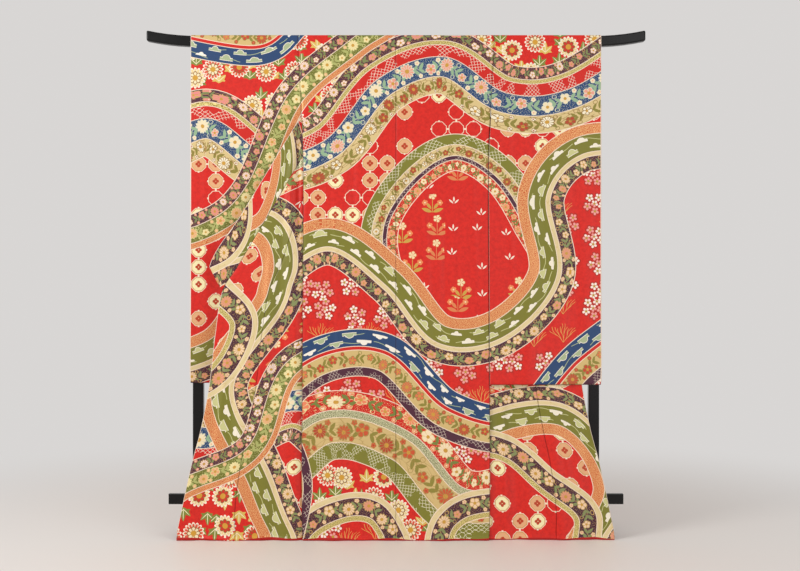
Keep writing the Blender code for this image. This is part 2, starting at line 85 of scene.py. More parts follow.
# What fills a stripe: its ground, two petal colours, the leaves, the lines, and how strongly it has flowers,
# lattice, clouds, speckle, branches, a stem and powdering
Fill = namedtuple("Fill", "ground petal other leaf line flowers lattice clouds speckle branches stem powder")
FILLS = {
    "branches": Fill("d8bf86", "b5402a", "f2e6c8", "8d8238", "94713a", 1, 0, 0, 0, 0.8, 0, 0),
    "navy vine": Fill("27456f", "e8a08a", "f0dcb4", "93b08c", "dcd9bd", 1, 0, 0, 0, 0, 1, 1),
    "red fret": Fill("cc2217", "f0dcc0", "f0dcc0", "c9a050", "f3e2cc", 0, 1, 0, 0, 0, 0, 0),
    "gold speckle": Fill("96803c", "e9d68c", "e9d68c", "e9d68c", "ead98e", 0, 0, 0, 1, 0, 0, 0),
    "plum flowers": Fill("52283a", "f2d6cc", "e58a84", "7d8450", "c9a35c", 1, 0, 0, 0, 0, 0, 1),
    "olive lattice": Fill("7d7a2b", "e9e0b8", "e9e0b8", "e9e0b8", "ece4c4", 0, 1, 0, 0, 0, 0, 0),
    "cream blossoms": Fill("d0b478", "b5402a", "c9542f", "8d8238", "a8884a", 1, 0, 0, 0, 0.6, 1, 0),
    "grey speckle": Fill("77754e", "d6d2a6", "d6d2a6", "d6d2a6", "dad6ac", 0, 0, 0, 1, 0, 0, 0),
    "red vine": Fill("cc2217", "f2dcb8", "e8835c", "77803c", "e6cf94", 1, 0, 0, 0, 0, 1, 1),
    "aubergine vine": Fill("4a2334", "e2937a", "edcba6", "858c58", "c6a25e", 1, 0, 0, 0, 0, 1, 1),
    "pale": Fill("dfca98", "c9a050", "c9a050", "c9a050", "cfb072", 0, 0, 0, 0, 0.5, 0, 0),
    "olive clouds": Fill("7b782a", "f0e6cf", "c8c68a", "a0a35c", "f3ead8", 0, 0, 1, 0, 0, 0, 0),
    "orange speckle": Fill("c9582a", "e9b474", "e9b474", "e9b474", "e8b478", 0, 0, 0, 1, 0, 0, 0),
    "navy clouds": Fill("26436c", "f2ebdd", "a8b48c", "a0a35c", "f3ead8", 0, 0, 1, 0, 0, 0, 0),
    "cream vine": Fill("d1b476", "d9774c", "c2452c", "8d8238", "94813e", 1, 0, 0, 0, 0, 1, 0),
    "aubergine fret": Fill("4e2536", "f0dcc0", "f0dcc0", "c9a050", "e9d8c4", 0, 0.7, 0, 0, 0, 0, 0),
    "olive vine": Fill("70722a", "ecd9a0", "e8a878", "adb068", "ddd28e", 1, 0, 0, 0, 0, 1, 1),
    "red": Fill("cc2217", "cc2217", "cc2217", "cc2217", "cc2217", 0, 0, 0, 0, 0, 0, 0),
}
# The grounds between the ribbons, in the order in which the ribbons raise them
CHERRY, CHRYSANTHEMUM, BOUQUET, TORTOISESHELL = range(4)
FIELDS = np.array([CHERRY, CHRYSANTHEMUM, CHERRY, TORTOISESHELL, CHRYSANTHEMUM, CHERRY, BOUQUET,
                   TORTOISESHELL, CHRYSANTHEMUM, CHERRY, BOUQUET])
LAYERS = 3
ROUTE_STEPS = 14
REACH = 0.02
PLACES_AT_ONCE = 4000


def smooth_curve(knots, steps):
    """Points along a smooth curve through its knots, where the first and the last only lead it in and out"""
    points = []
    for one, two, three, four in zip(knots, knots[1:], knots[2:], knots[3:]):
        for t in np.linspace(0, 1, steps + 1)[:-1]:
            bend = (2 * one - 5 * two + 4 * three - four) * t * t + (3 * two - one - 3 * three + four) * t**3
            points.append(two + ((three - one) * t + bend) / 2)
    return points


def beside(route, flat):
    """For places on the flat sheet, how far to the left of a route they lie and how far along it"""
    knots = np.array([route[0], *route, route[-1]], float)
    curve = np.array([*smooth_curve(knots, ROUTE_STEPS), knots[-1]])
    step = np.diff(curve, axis=0)
    long = np.linalg.norm(step, axis=1)
    before = np.cumsum(long) - long
    away, gone = [], []
    for part in np.array_split(flat[:, :2], len(flat) // PLACES_AT_ONCE + 1):
        off = part[:, None] - curve[None, :-1]
        share = np.clip((off * step).sum(-1) / long**2, 0, 1)
        square = ((off - share[..., None] * step) ** 2).sum(-1)
        best = square.argmin(1)
        pick = np.arange(len(part)), best
        turned = step[best, 0] * off[pick][:, 1] - step[best, 1] * off[pick][:, 0]
        away.append(np.sqrt(square[pick]) * np.sign(turned))
        gone.append(before[best] + share[pick] * long[best])
    return np.concatenate(away), np.concatenate(gone)


def dye(mesh, flat, marks):
    """Keep with each point where it lies on the flat sheet, on each layer's ribbons and from its seams"""
    ground = np.zeros(len(flat))
    found = {"marks": marks}
    styles = np.zeros((len(flat), 3))
    for layer in range(LAYERS):
        best = np.full(len(flat), REACH)
        chosen = np.zeros((len(flat), 3))
        for ribbon in RIBBONS:
            if ribbon.layer != layer:
                continue
            half = sum(wide for wide, fill in STYLES[ribbon.style]) / 2
            away, gone = beside(ribbon.route, flat)
            ground += ribbon.raises * (away > 0)
            nearer = np.abs(away) - half < best
            best = np.where(nearer, np.abs(away) - half, best)
            chosen[nearer] = np.stack([away / half, gone, away], -1)[nearer]
            styles[nearer, layer] = ribbon.style
        chosen[:, 2] = best
        found[f"ribbon_{layer}"] = chosen
    found["styles"] = styles
    found["cloth"] = np.column_stack([flat[:, :2], FIELDS[ground.astype(int)]])
    for name, values in found.items():
        kept = mesh.attributes.new(name, "FLOAT_VECTOR", "POINT")
        kept.data.foreach_set("vector", np.ascontiguousarray(values, dtype=np.float32).ravel())


def linear(hexed):
    """A colour written as sRGB hex, in linear light"""
    channels = [int(hexed[k : k + 2], 16) / 255 for k in (0, 2, 4)]
    return (*[c / 12.92 if c <= 0.04045 else ((c + 0.055) / 1.055) ** 2.4 for c in channels], 1)


MODES = {"Mix": "data_type", "TexVoronoi": "voronoi_dimensions", "TexNoise": "noise_dimensions",
         "TexWhiteNoise": "noise_dimensions"}


def node(kind, *values, out=0, stops=(), **settings):
    """Add a node with its inputs in order, and give one or more of its outputs. kind is the node's name and
    its mode, such as "VectorMath ADD", or a Math node's mode alone. A text as an input is a colour in hex"""
    name, _, mode = kind.partition(" ")
    if name.isupper():
        name, mode = "Math", name
    made = tree.nodes.new("ShaderNode" + name)
    if mode:
        setattr(made, MODES.get(name, "operation"), mode)
    for key, value in settings.items():
        setattr(made, key, value)
    for spot, (place, colour) in enumerate(stops):
        made.color_ramp.interpolation = "CONSTANT"
        if spot == 0:
            made.color_ramp.elements.remove(made.color_ramp.elements[-1])
        element = made.color_ramp.elements.new(place) if spot else made.color_ramp.elements[0]
        element.position, element.color = place, colour
    for port, value in zip([port for port in made.inputs if port.enabled], values):
        if isinstance(value, bpy.types.NodeSocket):
            tree.links.new(value, port)
        elif value is not None:
            port.default_value = linear(value) if isinstance(value, str) else value
    return [port for port in made.outputs if port.enabled][out]


def new_finish(name):
    """A new material, its nodes and its shader"""
    material = bpy.data.materials.new(name)
    material.use_nodes = True
    return material, material.node_tree, material.node_tree.nodes["Principled BSDF"]


def dyed_over(ground, *dyes):
    """Dyes laid over a ground in turn, each its colour and the one or more things that say where it takes"""
    for colour, where, *others in dyes:
        for other in others:
            where = node("MULTIPLY", where, other)
        ground = node("Mix RGBA", where, ground, colour)
    return ground


def distance(x, y):
    """How far a place is from a motif's middle"""
    return node("VectorMath LENGTH", node("CombineXYZ", x, y, 0.0))


def blossom(x, y, size, petals, turn=0.0, notch=0.30):
    """A flower seen from above round the place (x, y): its area, its outlines and its heart. Its petals are
    parted as deep as notch says"""
    out = node("DIVIDE", distance(x, y), size)
    around = node("MULTIPLY_ADD", node("ARCTAN2", y, x), petals / 2, turn)
    lobe = node("ABSOLUTE", node("COSINE", around))
    edge = node("MULTIPLY_ADD", node("POWER", lobe, 0.6), notch, 1 - notch)
    area = node("LESS_THAN", out, edge)
    rim = node("GREATER_THAN", out, node("SUBTRACT", edge, 0.14))
    parting = node("LESS_THAN", lobe, 0.34)
    heart = node("LESS_THAN", out, 0.27)
    return area, node("MULTIPLY", node("MAXIMUM", rim, parting), area), heart


def leaf(x, y, turn, long, wide):
    """The area of a pointed leaf round the place (x, y), turned by an angle"""
    run = node("MULTIPLY_ADD", x, math.cos(turn), node("MULTIPLY", y, math.sin(turn)))
    off = node("MULTIPLY_ADD", y, math.cos(turn), node("MULTIPLY", x, -math.sin(turn)))
    share = node("DIVIDE", run, long)
    room = node("MULTIPLY", node("MULTIPLY_ADD", share, node("MULTIPLY", share, -1.0), 1.0), wide)
    return node("LESS_THAN", node("ABSOLUTE", off), room)


def crossed(x, y, half_pitch, half_wide):
    """Slanting lines that cross in a lattice"""
    one_way = node("PINGPONG", node("ADD", x, y), half_pitch)
    other_way = node("PINGPONG", node("SUBTRACT", x, y), half_pitch)
    return node("LESS_THAN", node("MINIMUM", one_way, other_way), half_wide)


# Figured satin silk, dyed and painted by hand: a soft sheen, clear flat dyes within thin pale outlines, a
# ground slightly mottled where the woven figure turns the light, and a little gold in speckle and branches
DYED_SILK, tree, shader = new_finish("figured satin silk, dyed and painted")
across, up, ground = node("SeparateXYZ", node("Attribute", out=1, attribute_name="cloth"), out=slice(3))
marks = node("Attribute", out=1, attribute_name="marks")
from_seam, from_edge, from_hem = node("SeparateXYZ", marks, out=slice(3))
flat = node("CombineXYZ", across, up, 0.0)

# Which ribbon lies on top here
kinds = node("SeparateXYZ", node("Attribute", out=1, attribute_name="styles"), out=slice(3))
for layer in range(LAYERS):
    spot = node("Attribute", out=1, attribute_name=f"ribbon_{layer}")
    here = node("LESS_THAN", node("SeparateXYZ", spot, out=2), 0.0)
    if layer == 0:
        place, style, on_ribbon = spot, kinds[0], here
    else:
        place = node("Mix VECTOR", here, place, spot)
        style = node("Mix FLOAT", here, style, kinds[layer])
        on_ribbon = node("MAXIMUM", on_ribbon, here)
off_middle, gone, beyond = node("SeparateXYZ", place, out=slice(3))
share = node("MULTIPLY_ADD", off_middle, 0.5, 0.5)

# Which stripe of it this is. A ramp for each style holds, stripe by stripe, the code of what fills it, its
# middle, ten times its half width, and in its alpha the whole ribbon's width.
fill_names, fills = list(FILLS), list(FILLS.values())
codes = len(fills)
for number, stripes in enumerate(STYLES):
    whole = sum(wide for wide, fill in stripes)
    stops, start = [], 0
    for wide, fill in stripes:
        middle = (start + wide / 2) / whole
        stops.append((start / whole, ((fill_names.index(fill) + 0.5) / codes, middle, wide / 2 * 10, whole)))
        start += wide
    colour, alpha = node("ValToRGB", share, out=slice(2), stops=stops)
    if number == 0:
        code, wide_ribbon = colour, alpha
    else:
        here = node("GREATER_THAN", style, number - 0.5)
        code = node("Mix RGBA", here, code, colour)
        wide_ribbon = node("Mix FLOAT", here, wide_ribbon, alpha)
kind, middle, half = node("SeparateColor", code, out=slice(3))
half = node("MULTIPLY", half, 0.1)
off = node("MULTIPLY", node("SUBTRACT", share, middle), wide_ribbon)

# The stripe's own colours, and what it has
filled = []
for part in ("ground", "petal", "other", "leaf", "line"):
    stops = [(k / codes, linear(getattr(fill, part))) for k, fill in enumerate(fills)]
    filled.append(node("ValToRGB", kind, stops=stops))
stripe_ground, petal, other_petal, leaf_colour, line_colour = filled
stops = [(k / codes, (fill.flowers, fill.lattice, fill.clouds, 1)) for k, fill in enumerate(fills)]
has = node("ValToRGB", kind, stops=stops)
has_flowers, has_lattice, has_clouds = node("SeparateColor", has, out=slice(3))
stops = [(k / codes, (fill.speckle, fill.branches, fill.stem, fill.powder)) for k, fill in enumerate(fills)]
has, has_powder = node("ValToRGB", kind, out=slice(2), stops=stops)
has_speckle, has_branches, has_stem = node("SeparateColor", has, out=slice(3))

# Flowers along the middle of a stripe, to the left and right of it in turn, with leaves, buds, curls and a
# winding stem. Their sizes are in half widths of the stripe.
FLOWER_PITCH, FLOWER_ASIDE, STEM_SWING = 2.1, 0.22, 0.45
LEAVES_FROM_MIDDLE, BUDS_FROM_MIDDLE = 0.30, 0.66
PAINTED_LINE = 0.0009
gone_halves, off_halves = node("DIVIDE", gone, half), node("DIVIDE", off, half)
steps = node("DIVIDE", gone_halves, FLOWER_PITCH)
number, nearest = node("FLOOR", steps), node("ROUND", steps)
chance = node("TexWhiteNoise 1D", number)
shift = node("MULTIPLY_ADD", node("FRACT", node("MULTIPLY", chance, 13.7)), 0.26, 0.37)
x = node("MULTIPLY", node("SUBTRACT", node("SUBTRACT", steps, number), shift), FLOWER_PITCH)
aside = node("MULTIPLY_ADD", node("PINGPONG", number, 1.0), 2 * FLOWER_ASIDE, -FLOWER_ASIDE)
y = node("SUBTRACT", off_halves, aside)
size = node("MULTIPLY_ADD", chance, 0.34, 0.46)
area_five, lines_five, heart = blossom(x, y, size, 5, 1.2)
area_many, lines_many, _ = blossom(x, y, size, 12)
many = node("GREATER_THAN", chance, 0.55)
area = node("Mix FLOAT", many, area_five, area_many)
lines = node("Mix FLOAT", many, lines_five, lines_many)
leaf_x = node("MULTIPLY", node("SUBTRACT", steps, nearest), FLOWER_PITCH)
mirrored = node("SUBTRACT", node("ABSOLUTE", leaf_x), LEAVES_FROM_MIDDLE)
leaves = node("MAXIMUM", leaf(mirrored, node("ADD", off_halves, aside), 0.9, 0.50, 0.17),
              leaf(mirrored, y, -0.7, 0.42, 0.15))


def drawn(off_line, half_wide=PAINTED_LINE):
    """Where a painted line runs, from how many half widths of the stripe a place is off it"""
    return node("LESS_THAN", node("MULTIPLY", node("ABSOLUTE", off_line), half), half_wide)


wave = node("MULTIPLY", node("SINE", node("MULTIPLY", steps, math.pi)), STEM_SWING)
stem = node("MULTIPLY", drawn(node("ADD", off_halves, wave)), has_stem)
outward = node("SUBTRACT", node("ABSOLUTE", off_halves), BUDS_FROM_MIDDLE)
curl = node("MULTIPLY", drawn(node("SUBTRACT", distance(leaf_x, outward), 0.20)), has_flowers)
has_bud = node("GREATER_THAN", node("TexWhiteNoise 1D", nearest), 0.35)
buds, bud_lines, bud_heart = blossom(leaf_x, outward, 0.26, 5, 0.5)
along_stripe = node("CombineXYZ", gone, off, 0.0)
powder = node("MULTIPLY", node("LESS_THAN", node("TexVoronoi 2D", along_stripe, 210.0), 0.15), has_powder)
bud = dyed_over(other_petal, (line_colour, bud_lines), (petal, bud_heart))
in_other = node("GREATER_THAN", node("FRACT", node("MULTIPLY", chance, 7.3)), 0.5)
petals = dyed_over(petal, (other_petal, in_other), (line_colour, lines), ("c9973c", heart))
dyed = dyed_over(
    stripe_ground, (line_colour, node("MAXIMUM", node("MAXIMUM", stem, curl), powder)),
    (leaf_colour, leaves, has_flowers), (bud, buds, has_bud, has_flowers), (petals, area, has_flowers))

# Clouds of three lobes over a flat underside, left and right in turn, with broken lines of mist between. Each
# has a size of its own, and its lobes are drawn in that size.
CLOUD_PITCH, CLOUD_ASIDE, CLOUD_RIM = 0.040, 0.42, 0.0017
cloud_steps = node("DIVIDE", gone, CLOUD_PITCH)
cloud_number = node("FLOOR", cloud_steps)
cloud_luck = node("TexWhiteNoise 1D", cloud_number)
cloud_size = node("MULTIPLY", half, node("MULTIPLY_ADD", cloud_luck, 0.55, 0.70))
cloud_x = node("SUBTRACT", node("SUBTRACT", cloud_steps, cloud_number), 0.5)
cloud_x = node("DIVIDE", node("MULTIPLY", node("ABSOLUTE", cloud_x), CLOUD_PITCH), cloud_size)
cloud_aside = node("MULTIPLY_ADD", node("PINGPONG", cloud_number, 1.0), 2 * CLOUD_ASIDE, -CLOUD_ASIDE)
cloud_y = node("DIVIDE", node("SUBTRACT", off, node("MULTIPLY", cloud_aside, half)), cloud_size)
crest = node("SUBTRACT", distance(cloud_x, node("SUBTRACT", cloud_y, 0.06)), 0.40)
wing_x = node("MULTIPLY", node("SUBTRACT", cloud_x, 0.54), 0.72)
wing = node("SUBTRACT", distance(wing_x, node("ADD", cloud_y, 0.08)), 0.25)
cloud_edge = node("MAXIMUM", node("MINIMUM", crest, wing), node("SUBTRACT", -0.16, cloud_y))
cloud_core = node("LESS_THAN", node("MULTIPLY", cloud_edge, cloud_size), -CLOUD_RIM)
cloud_colour = dyed_over(petal, (other_petal, node("GREATER_THAN", cloud_luck, 0.5)))
cloud_colour = dyed_over(line_colour, (cloud_colour, cloud_core))
mist = node("ABSOLUTE", node("MULTIPLY_ADD", wave, -0.4, off_halves))
mist = drawn(node("SUBTRACT", mist, 0.50), 0.0010)

# Lattice in broken pieces, gold speckle, fine branching cracks, and pale lines round stripes and ribbons.
# Painted lines of half a millimetre are drawn about 1 mm wide so that they show.
STRIPE_LINE, RIBBON_LINE = 0.0011, 0.0024
patchy = node("TexNoise 2D", along_stripe, 22.0, 0.0)
lattice = crossed(gone, off, 0.0065, 0.00075)
dots = node("LESS_THAN", node("TexVoronoi 2D", along_stripe, 420.0), 0.42)
dots = node("MULTIPLY", dots, has_speckle)
drawn_out = node("CombineXYZ", node("MULTIPLY", gone, 26.0), node("MULTIPLY", off, 90.0), 0.0)
cracks = node("LESS_THAN", node("TexVoronoi 2D", drawn_out, 1.0, feature="DISTANCE_TO_EDGE"), 0.05)
cracks = node("MULTIPLY", node("MULTIPLY", cracks, node("GREATER_THAN", patchy, 0.44)), has_branches)
stripe_rim = node("GREATER_THAN", node("ABSOLUTE", off), node("SUBTRACT", half, STRIPE_LINE))
ribbon_rim = node("GREATER_THAN", beyond, -RIBBON_LINE)
dyed = dyed_over(
    dyed, (line_colour, lattice, node("GREATER_THAN", patchy, 0.47), has_lattice),
    (other_petal, mist, node("GREATER_THAN", patchy, 0.46), has_clouds),
    (cloud_colour, node("LESS_THAN", cloud_edge, 0.0), has_clouds),
    (line_colour, dots), (line_colour, cracks), ("f0dac2", node("MAXIMUM", stripe_rim, ribbon_rim)))

# The vermilion ground between ribbons: a fine woven figure, broken, and a soft mottle, both painted sheen:
# the red is made darker and lighter where the woven figure turns the light
figure = crossed(across, up, 0.0070, 0.0013)
figure = node("MULTIPLY", figure, node("GREATER_THAN", node("TexNoise 2D", flat, 48.0, 0.0), 0.48))
mottle = node("MULTIPLY_ADD", node("TexNoise 2D", flat, 75.0, 2.0, 0.7), 1.6, -0.58)
red = node("Mix RGBA", node("MULTIPLY_ADD", figure, 0.10, mottle), "d92317", "b8180f")

# What is scattered on it keeps to the cells of a loose grid, about 9 cm wide, each with its own luck
cell_chance, cell_place = node("TexVoronoi 2D", flat, 11.5, 0.0, 0.5, 2.0, 0.62, out=slice(1, 3))
dx, dy = node("SeparateXYZ", node("VectorMath SUBTRACT", flat, cell_place), out=slice(2))
luck, other_luck, third_luck = node("SeparateColor", cell_chance, out=slice(3))

# Cherry clusters: five flowers round a sixth, in white and pink, each within a thin darker shade
FIFTH, RING = 2 * math.pi / 5, 0.0248
far = distance(dx, dy)
sector = node("DIVIDE", node("MULTIPLY_ADD", other_luck, 6.28, node("ARCTAN2", dy, dx)), FIFTH)
fifth = node("FLOOR", sector)
bent = node("MULTIPLY", node("SUBTRACT", node("SUBTRACT", sector, fifth), 0.5), FIFTH)
ring_x = node("SUBTRACT", node("MULTIPLY", far, node("COSINE", bent)), RING)
ring_y = node("MULTIPLY", far, node("SINE", bent))
flowers = []
for size, notch in ((0.0145, 0.55), (0.0166, 0.45)):
    ring = blossom(ring_x, ring_y, size, 5, 0.3, notch)
    sixth = blossom(dx, dy, size - 0.0009, 5, 0.9, notch)
    flowers.append([node("MAXIMUM", one, other) for one, other in zip(ring, sixth)])
(cherry_area, cherry_lines, cherry_hearts), (cherry_shade, _, _) = flowers
pinker = node("GREATER_THAN", node("TexWhiteNoise 1D", node("MULTIPLY_ADD", luck, 37.0, fifth)), 0.45)
cherry = dyed_over("f4e6d8", ("eb9d96", pinker), ("c9402f", cherry_lines), ("b8912e", cherry_hearts))
cherry = dyed_over("9c2415", (cherry, cherry_area))

# Gold coral sprigs: three stems from one place, each of which forks twice
SPRIG_FOOT, SPRIG_TALL, SPRIG_LINE = 0.024, 0.055, 0.0008
sway = node("MULTIPLY", node("SINE", node("MULTIPLY", dy, 160.0)), 0.05)
from_foot = node("ADD", dy, SPRIG_FOOT)
fan = node("ADD", node("ARCTAN2", dx, from_foot), sway)
reach = distance(dx, from_foot)
from_stem = node("PINGPONG", fan, 0.30)
for start, end, spread in ((0.010, 0.034, 0.15), (0.026, 0.052, 0.08)):
    parted = node("MapRange", reach, start, end, 0.0, spread)
    from_stem = node("ABSOLUTE", node("SUBTRACT", from_stem, parted))
sprig = node("LESS_THAN", node("MULTIPLY", from_stem, reach), SPRIG_LINE)
sprig = node("MULTIPLY", sprig, node("LESS_THAN", node("ABSOLUTE", fan), 0.86))
tips = node("MULTIPLY_ADD", node("COSINE", node("MULTIPLY", fan, 9.0)), 0.007, SPRIG_TALL)
sprig = node("MULTIPLY", sprig, node("LESS_THAN", reach, tips))
cherry_ground = dyed_over(red, (cherry, cherry_shade, node("GREATER_THAN", luck, 0.42)),
                          ("dc9a4e", sprig, node("LESS_THAN", luck, 0.42)))

# Chrysanthemums of two rings of petals among pointed leaves
outer_area, outer_lines, _ = blossom(dx, dy, 0.0350, 16)
inner_area, inner_lines, _ = blossom(dx, dy, 0.0220, 8)
inner = dyed_over("c9301f", ("f0dfb4", node("GREATER_THAN", third_luck, 0.5)), ("8d5a2a", inner_lines))
crown = dyed_over("e9cf94", ("d9583a", node("GREATER_THAN", other_luck, 0.5)), ("f4e9d2", outer_lines),
                  (inner, inner_area), ("cf9a35", node("LESS_THAN", far, 0.0088)))
leaf_chance, leaf_place = node("TexVoronoi 2D", flat, 18.0, 0.0, 0.5, 2.0, 0.85, out=slice(1, 3))
leaf_dx, leaf_dy = node("SeparateXYZ", node("VectorMath SUBTRACT", flat, leaf_place), out=slice(2))
leaf_luck = node("TexWhiteNoise 3D", leaf_chance)
side_x = node("SUBTRACT", node("ABSOLUTE", leaf_dx), 0.0070)
upper_y = node("SUBTRACT", leaf_dy, 0.009)
side_leaf = leaf(side_x, leaf_dy, 0.75, 0.0220, 0.0078)
top_leaf = leaf(leaf_dx, upper_y, 1.57, 0.0225, 0.0070)
lower_leaf = leaf(side_x, leaf_dy, -0.45, 0.0170, 0.0056)
foliage = node("MAXIMUM", node("MAXIMUM", side_leaf, top_leaf), lower_leaf)
side_vein = leaf(side_x, leaf_dy, 0.75, 0.0200, 0.0012)
top_vein = leaf(leaf_dx, upper_y, 1.57, 0.0205, 0.0012)
veins = node("MAXIMUM", side_vein, top_vein)
foliage_colour = dyed_over("d8b65c", ("7c8436", node("GREATER_THAN", leaf_luck, 0.5)), ("f0e4ba", veins))
rich_ground = dyed_over(
    red, (foliage_colour, foliage, node("GREATER_THAN", leaf_luck, 0.16)), (crown, outer_area))

# Small gold bouquets in loose rows, and smaller white sprigs between them
dx, dy = node("MULTIPLY", dx, 0.70), node("MULTIPLY", dy, 0.70)
bouquet_x = node("ABSOLUTE", dx)
stalk = node("MULTIPLY", node("LESS_THAN", bouquet_x, 0.0008), node("LESS_THAN", node("ABSOLUTE", dy), 0.018))
low_leaf = leaf(node("SUBTRACT", bouquet_x, 0.0125), node("ADD", dy, 0.013), 0.35, 0.0125, 0.0042)
high_leaf = leaf(node("SUBTRACT", bouquet_x, 0.0085), node("ADD", dy, 0.003), 0.9, 0.0095, 0.0034)
bouquet = node("MAXIMUM", node("MAXIMUM", low_leaf, high_leaf), stalk)
bouquet_colour = dyed_over("c9a046", ("d9824e", node("GREATER_THAN", other_luck, 0.5)))
top_area, top_lines, _ = blossom(dx, node("SUBTRACT", dy, 0.020), 0.0100, 5)
side_x, side_y = node("SUBTRACT", bouquet_x, 0.0170), node("SUBTRACT", dy, 0.004)
side_area, _, side_heart = blossom(side_x, side_y, 0.0068, 5)
top_flower = dyed_over("f0d9a8", ("d86a3e", top_lines))
side_flower = dyed_over("e88a54", ("f0d9a8", side_heart))
big_bouquet = dyed_over(red, (bouquet_colour, bouquet), (top_flower, top_area), (side_flower, side_area))
small_y = node("ADD", dy, 0.004)
small_sprig = node("MAXIMUM", leaf(node("SUBTRACT", bouquet_x, 0.0062), small_y, 0.75, 0.0068, 0.0019),
                   leaf(dx, node("SUBTRACT", small_y, 0.0050), 1.57, 0.0062, 0.0019))
small_bouquet = dyed_over(red, ("f0e0cc", small_sprig))
bouquet_ground = dyed_over(big_bouquet, (small_bouquet, node("LESS_THAN", luck, 0.36)))

# Octagons and squares in broken chains, each octagon round a four-petalled flower
TILE = 0.056
OCTAGON, OCTAGON_RIM, OCTAGON_LINE = 0.0222, 0.0212, 0.0236
PETAL_OUT, PETAL_ROUND = 0.0060, 0.0047
tile_x, tile_y = node("DIVIDE", across, TILE), node("DIVIDE", up, TILE)
tile_number = node("CombineXYZ", node("FLOOR", tile_x), node("FLOOR", tile_y), 0.0)
from_x, from_y = [
    node("ABSOLUTE", node("MULTIPLY", node("SUBTRACT", node("FRACT", tile), 0.5), TILE))
    for tile in (tile_x, tile_y)]
slant_way = node("MULTIPLY", node("ADD", from_x, from_y), math.sqrt(0.5))
octagon = node("MAXIMUM", node("MAXIMUM", from_x, from_y), slant_way)
tile_luck = node("TexWhiteNoise 2D", tile_number)
patches = node("TexNoise 2D", node("VectorMath SCALE", tile_number, None, None, TILE), 5.2, 0.0)
in_patch = node("GREATER_THAN", patches, 0.50)
petal_pair = distance(node("SUBTRACT", from_x, PETAL_OUT), from_y)
other_pair = distance(from_x, node("SUBTRACT", from_y, PETAL_OUT))
four_petals = node("LESS_THAN", node("MINIMUM", petal_pair, other_pair), PETAL_ROUND)
tile_colour = dyed_over("f4e8b4", ("e2ab7c", node("GREATER_THAN", tile_luck, 0.60)), ("b8401f", four_petals),
                        ("c9a050", node("COMPARE", octagon, OCTAGON_RIM, 0.0009)))
joins = node("LESS_THAN", node("MINIMUM", from_x, from_y), 0.0030)
joins = node("MULTIPLY", joins, node("GREATER_THAN", octagon, OCTAGON_LINE))
chain = node("MAXIMUM", node("COMPARE", octagon, OCTAGON_LINE, 0.0010), joins)
shell_ground = dyed_over(
    red, (tile_colour, node("LESS_THAN", octagon, OCTAGON), node("GREATER_THAN", tile_luck, 0.24), in_patch),
    ("f0dcc0", chain, in_patch))

# The ground of each field between ribbons, then the ribbons over it
painted = dyed_over(
    cherry_ground, (rich_ground, node("GREATER_THAN", ground, CHRYSANTHEMUM - 0.5)),
    (bouquet_ground, node("GREATER_THAN", ground, BOUQUET - 0.5)),
    (shell_ground, node("GREATER_THAN", ground, TORTOISESHELL - 0.5)))
dyed = dyed_over(painted, (dyed, on_ribbon))

# Seams are painted a little in shade, the lining shows as a thin line along finished edges, and the hem's
# roll
# turns up an uneven line of red: the roll's own red, painted darker than the lining's vermilion as shade
# under the hem
SEAM_SHADE, LINING_LINE = 0.0011, 0.0014
turned_up = node("MULTIPLY_ADD", node("TexNoise 2D", flat, 7.0, 0.0), 0.030, -0.0225)
dyed = dyed_over(dyed, ("3a0f0c", node("LESS_THAN", from_seam, SEAM_SHADE), 0.48),
                 ("e8d5c4", node("LESS_THAN", from_edge, LINING_LINE)),
                 ("ae1a14", node("LESS_THAN", from_hem, turned_up)))
tree.links.new(dyed, shader.inputs["Base Color"])

# The weave's own threads, 0.1 mm apart, are too fine to show, so its grain is drawn at about 0.8 mm
GRAINS_PER_METRE = 1300.0
grain = node("TexNoise 2D", flat, GRAINS_PER_METRE, 2.0, 0.6)
relief = node("MULTIPLY_ADD", figure, 0.3, grain)
tree.links.new(node("Bump", 0.35, 0.0004, 0.1, relief), shader.inputs["Normal"])
gilded = node("MULTIPLY", node("MAXIMUM", dots, cracks), on_ribbon)
tree.links.new(node("MULTIPLY", gilded, 0.45), shader.inputs["Metallic"])
shader.inputs["Roughness"].default_value = 0.46
shader.inputs["Specular IOR Level"].default_value = 0.31
shader.inputs["Sheen Weight"].default_value = 0.07
shader.inputs["Sheen Roughness"].default_value = 0.45


# The hung body. Each half is one length of silk, from the back hem over the rail to the front hem, with no
# shoulder seam, and the two are sewn together down the middle of the back. Behind the back each front goes in
# to a tuck, turns over it and comes out sideways, so that its dyed face shows beside the back.

# Plain-woven lining silk, undyed but vermilion over the body's lowest 60 cm: smooth, and a little uneven in
# tone and weave. Its threads are drawn 0.9 mm apart so that they show.
SKIRT_TALL = 0.60
LINING, tree, shader = new_finish("plain-woven silk lining, undyed above and vermilion below")
across, up = node("SeparateXYZ", node("Attribute", out=1, attribute_name="cloth"), out=slice(2))
flat = node("CombineXYZ", across, up, 0.0)
uneven = node("MapRange", node("TexNoise 2D", flat, 7.0, 3.0, 0.6), 0.3, 0.7)
from_hem = node("SeparateXYZ", node("Attribute", out=1, attribute_name="marks"), out=2)
undyed = dyed_over("ebe2d2", ("e7ddcc", uneven))
vermilion = dyed_over("c6261e", ("c0221a", uneven))
lined = dyed_over(undyed, (vermilion, node("LESS_THAN", from_hem, SKIRT_TALL)))
tree.links.new(lined, shader.inputs["Base Color"])
threads = node("TexNoise 2D", flat, 1100.0, 2.0, 0.6)
tree.links.new(node("Bump", 0.3, 0.0003, 0.1, threads), shader.inputs["Normal"])
shader.inputs["Roughness"].default_value = 0.5

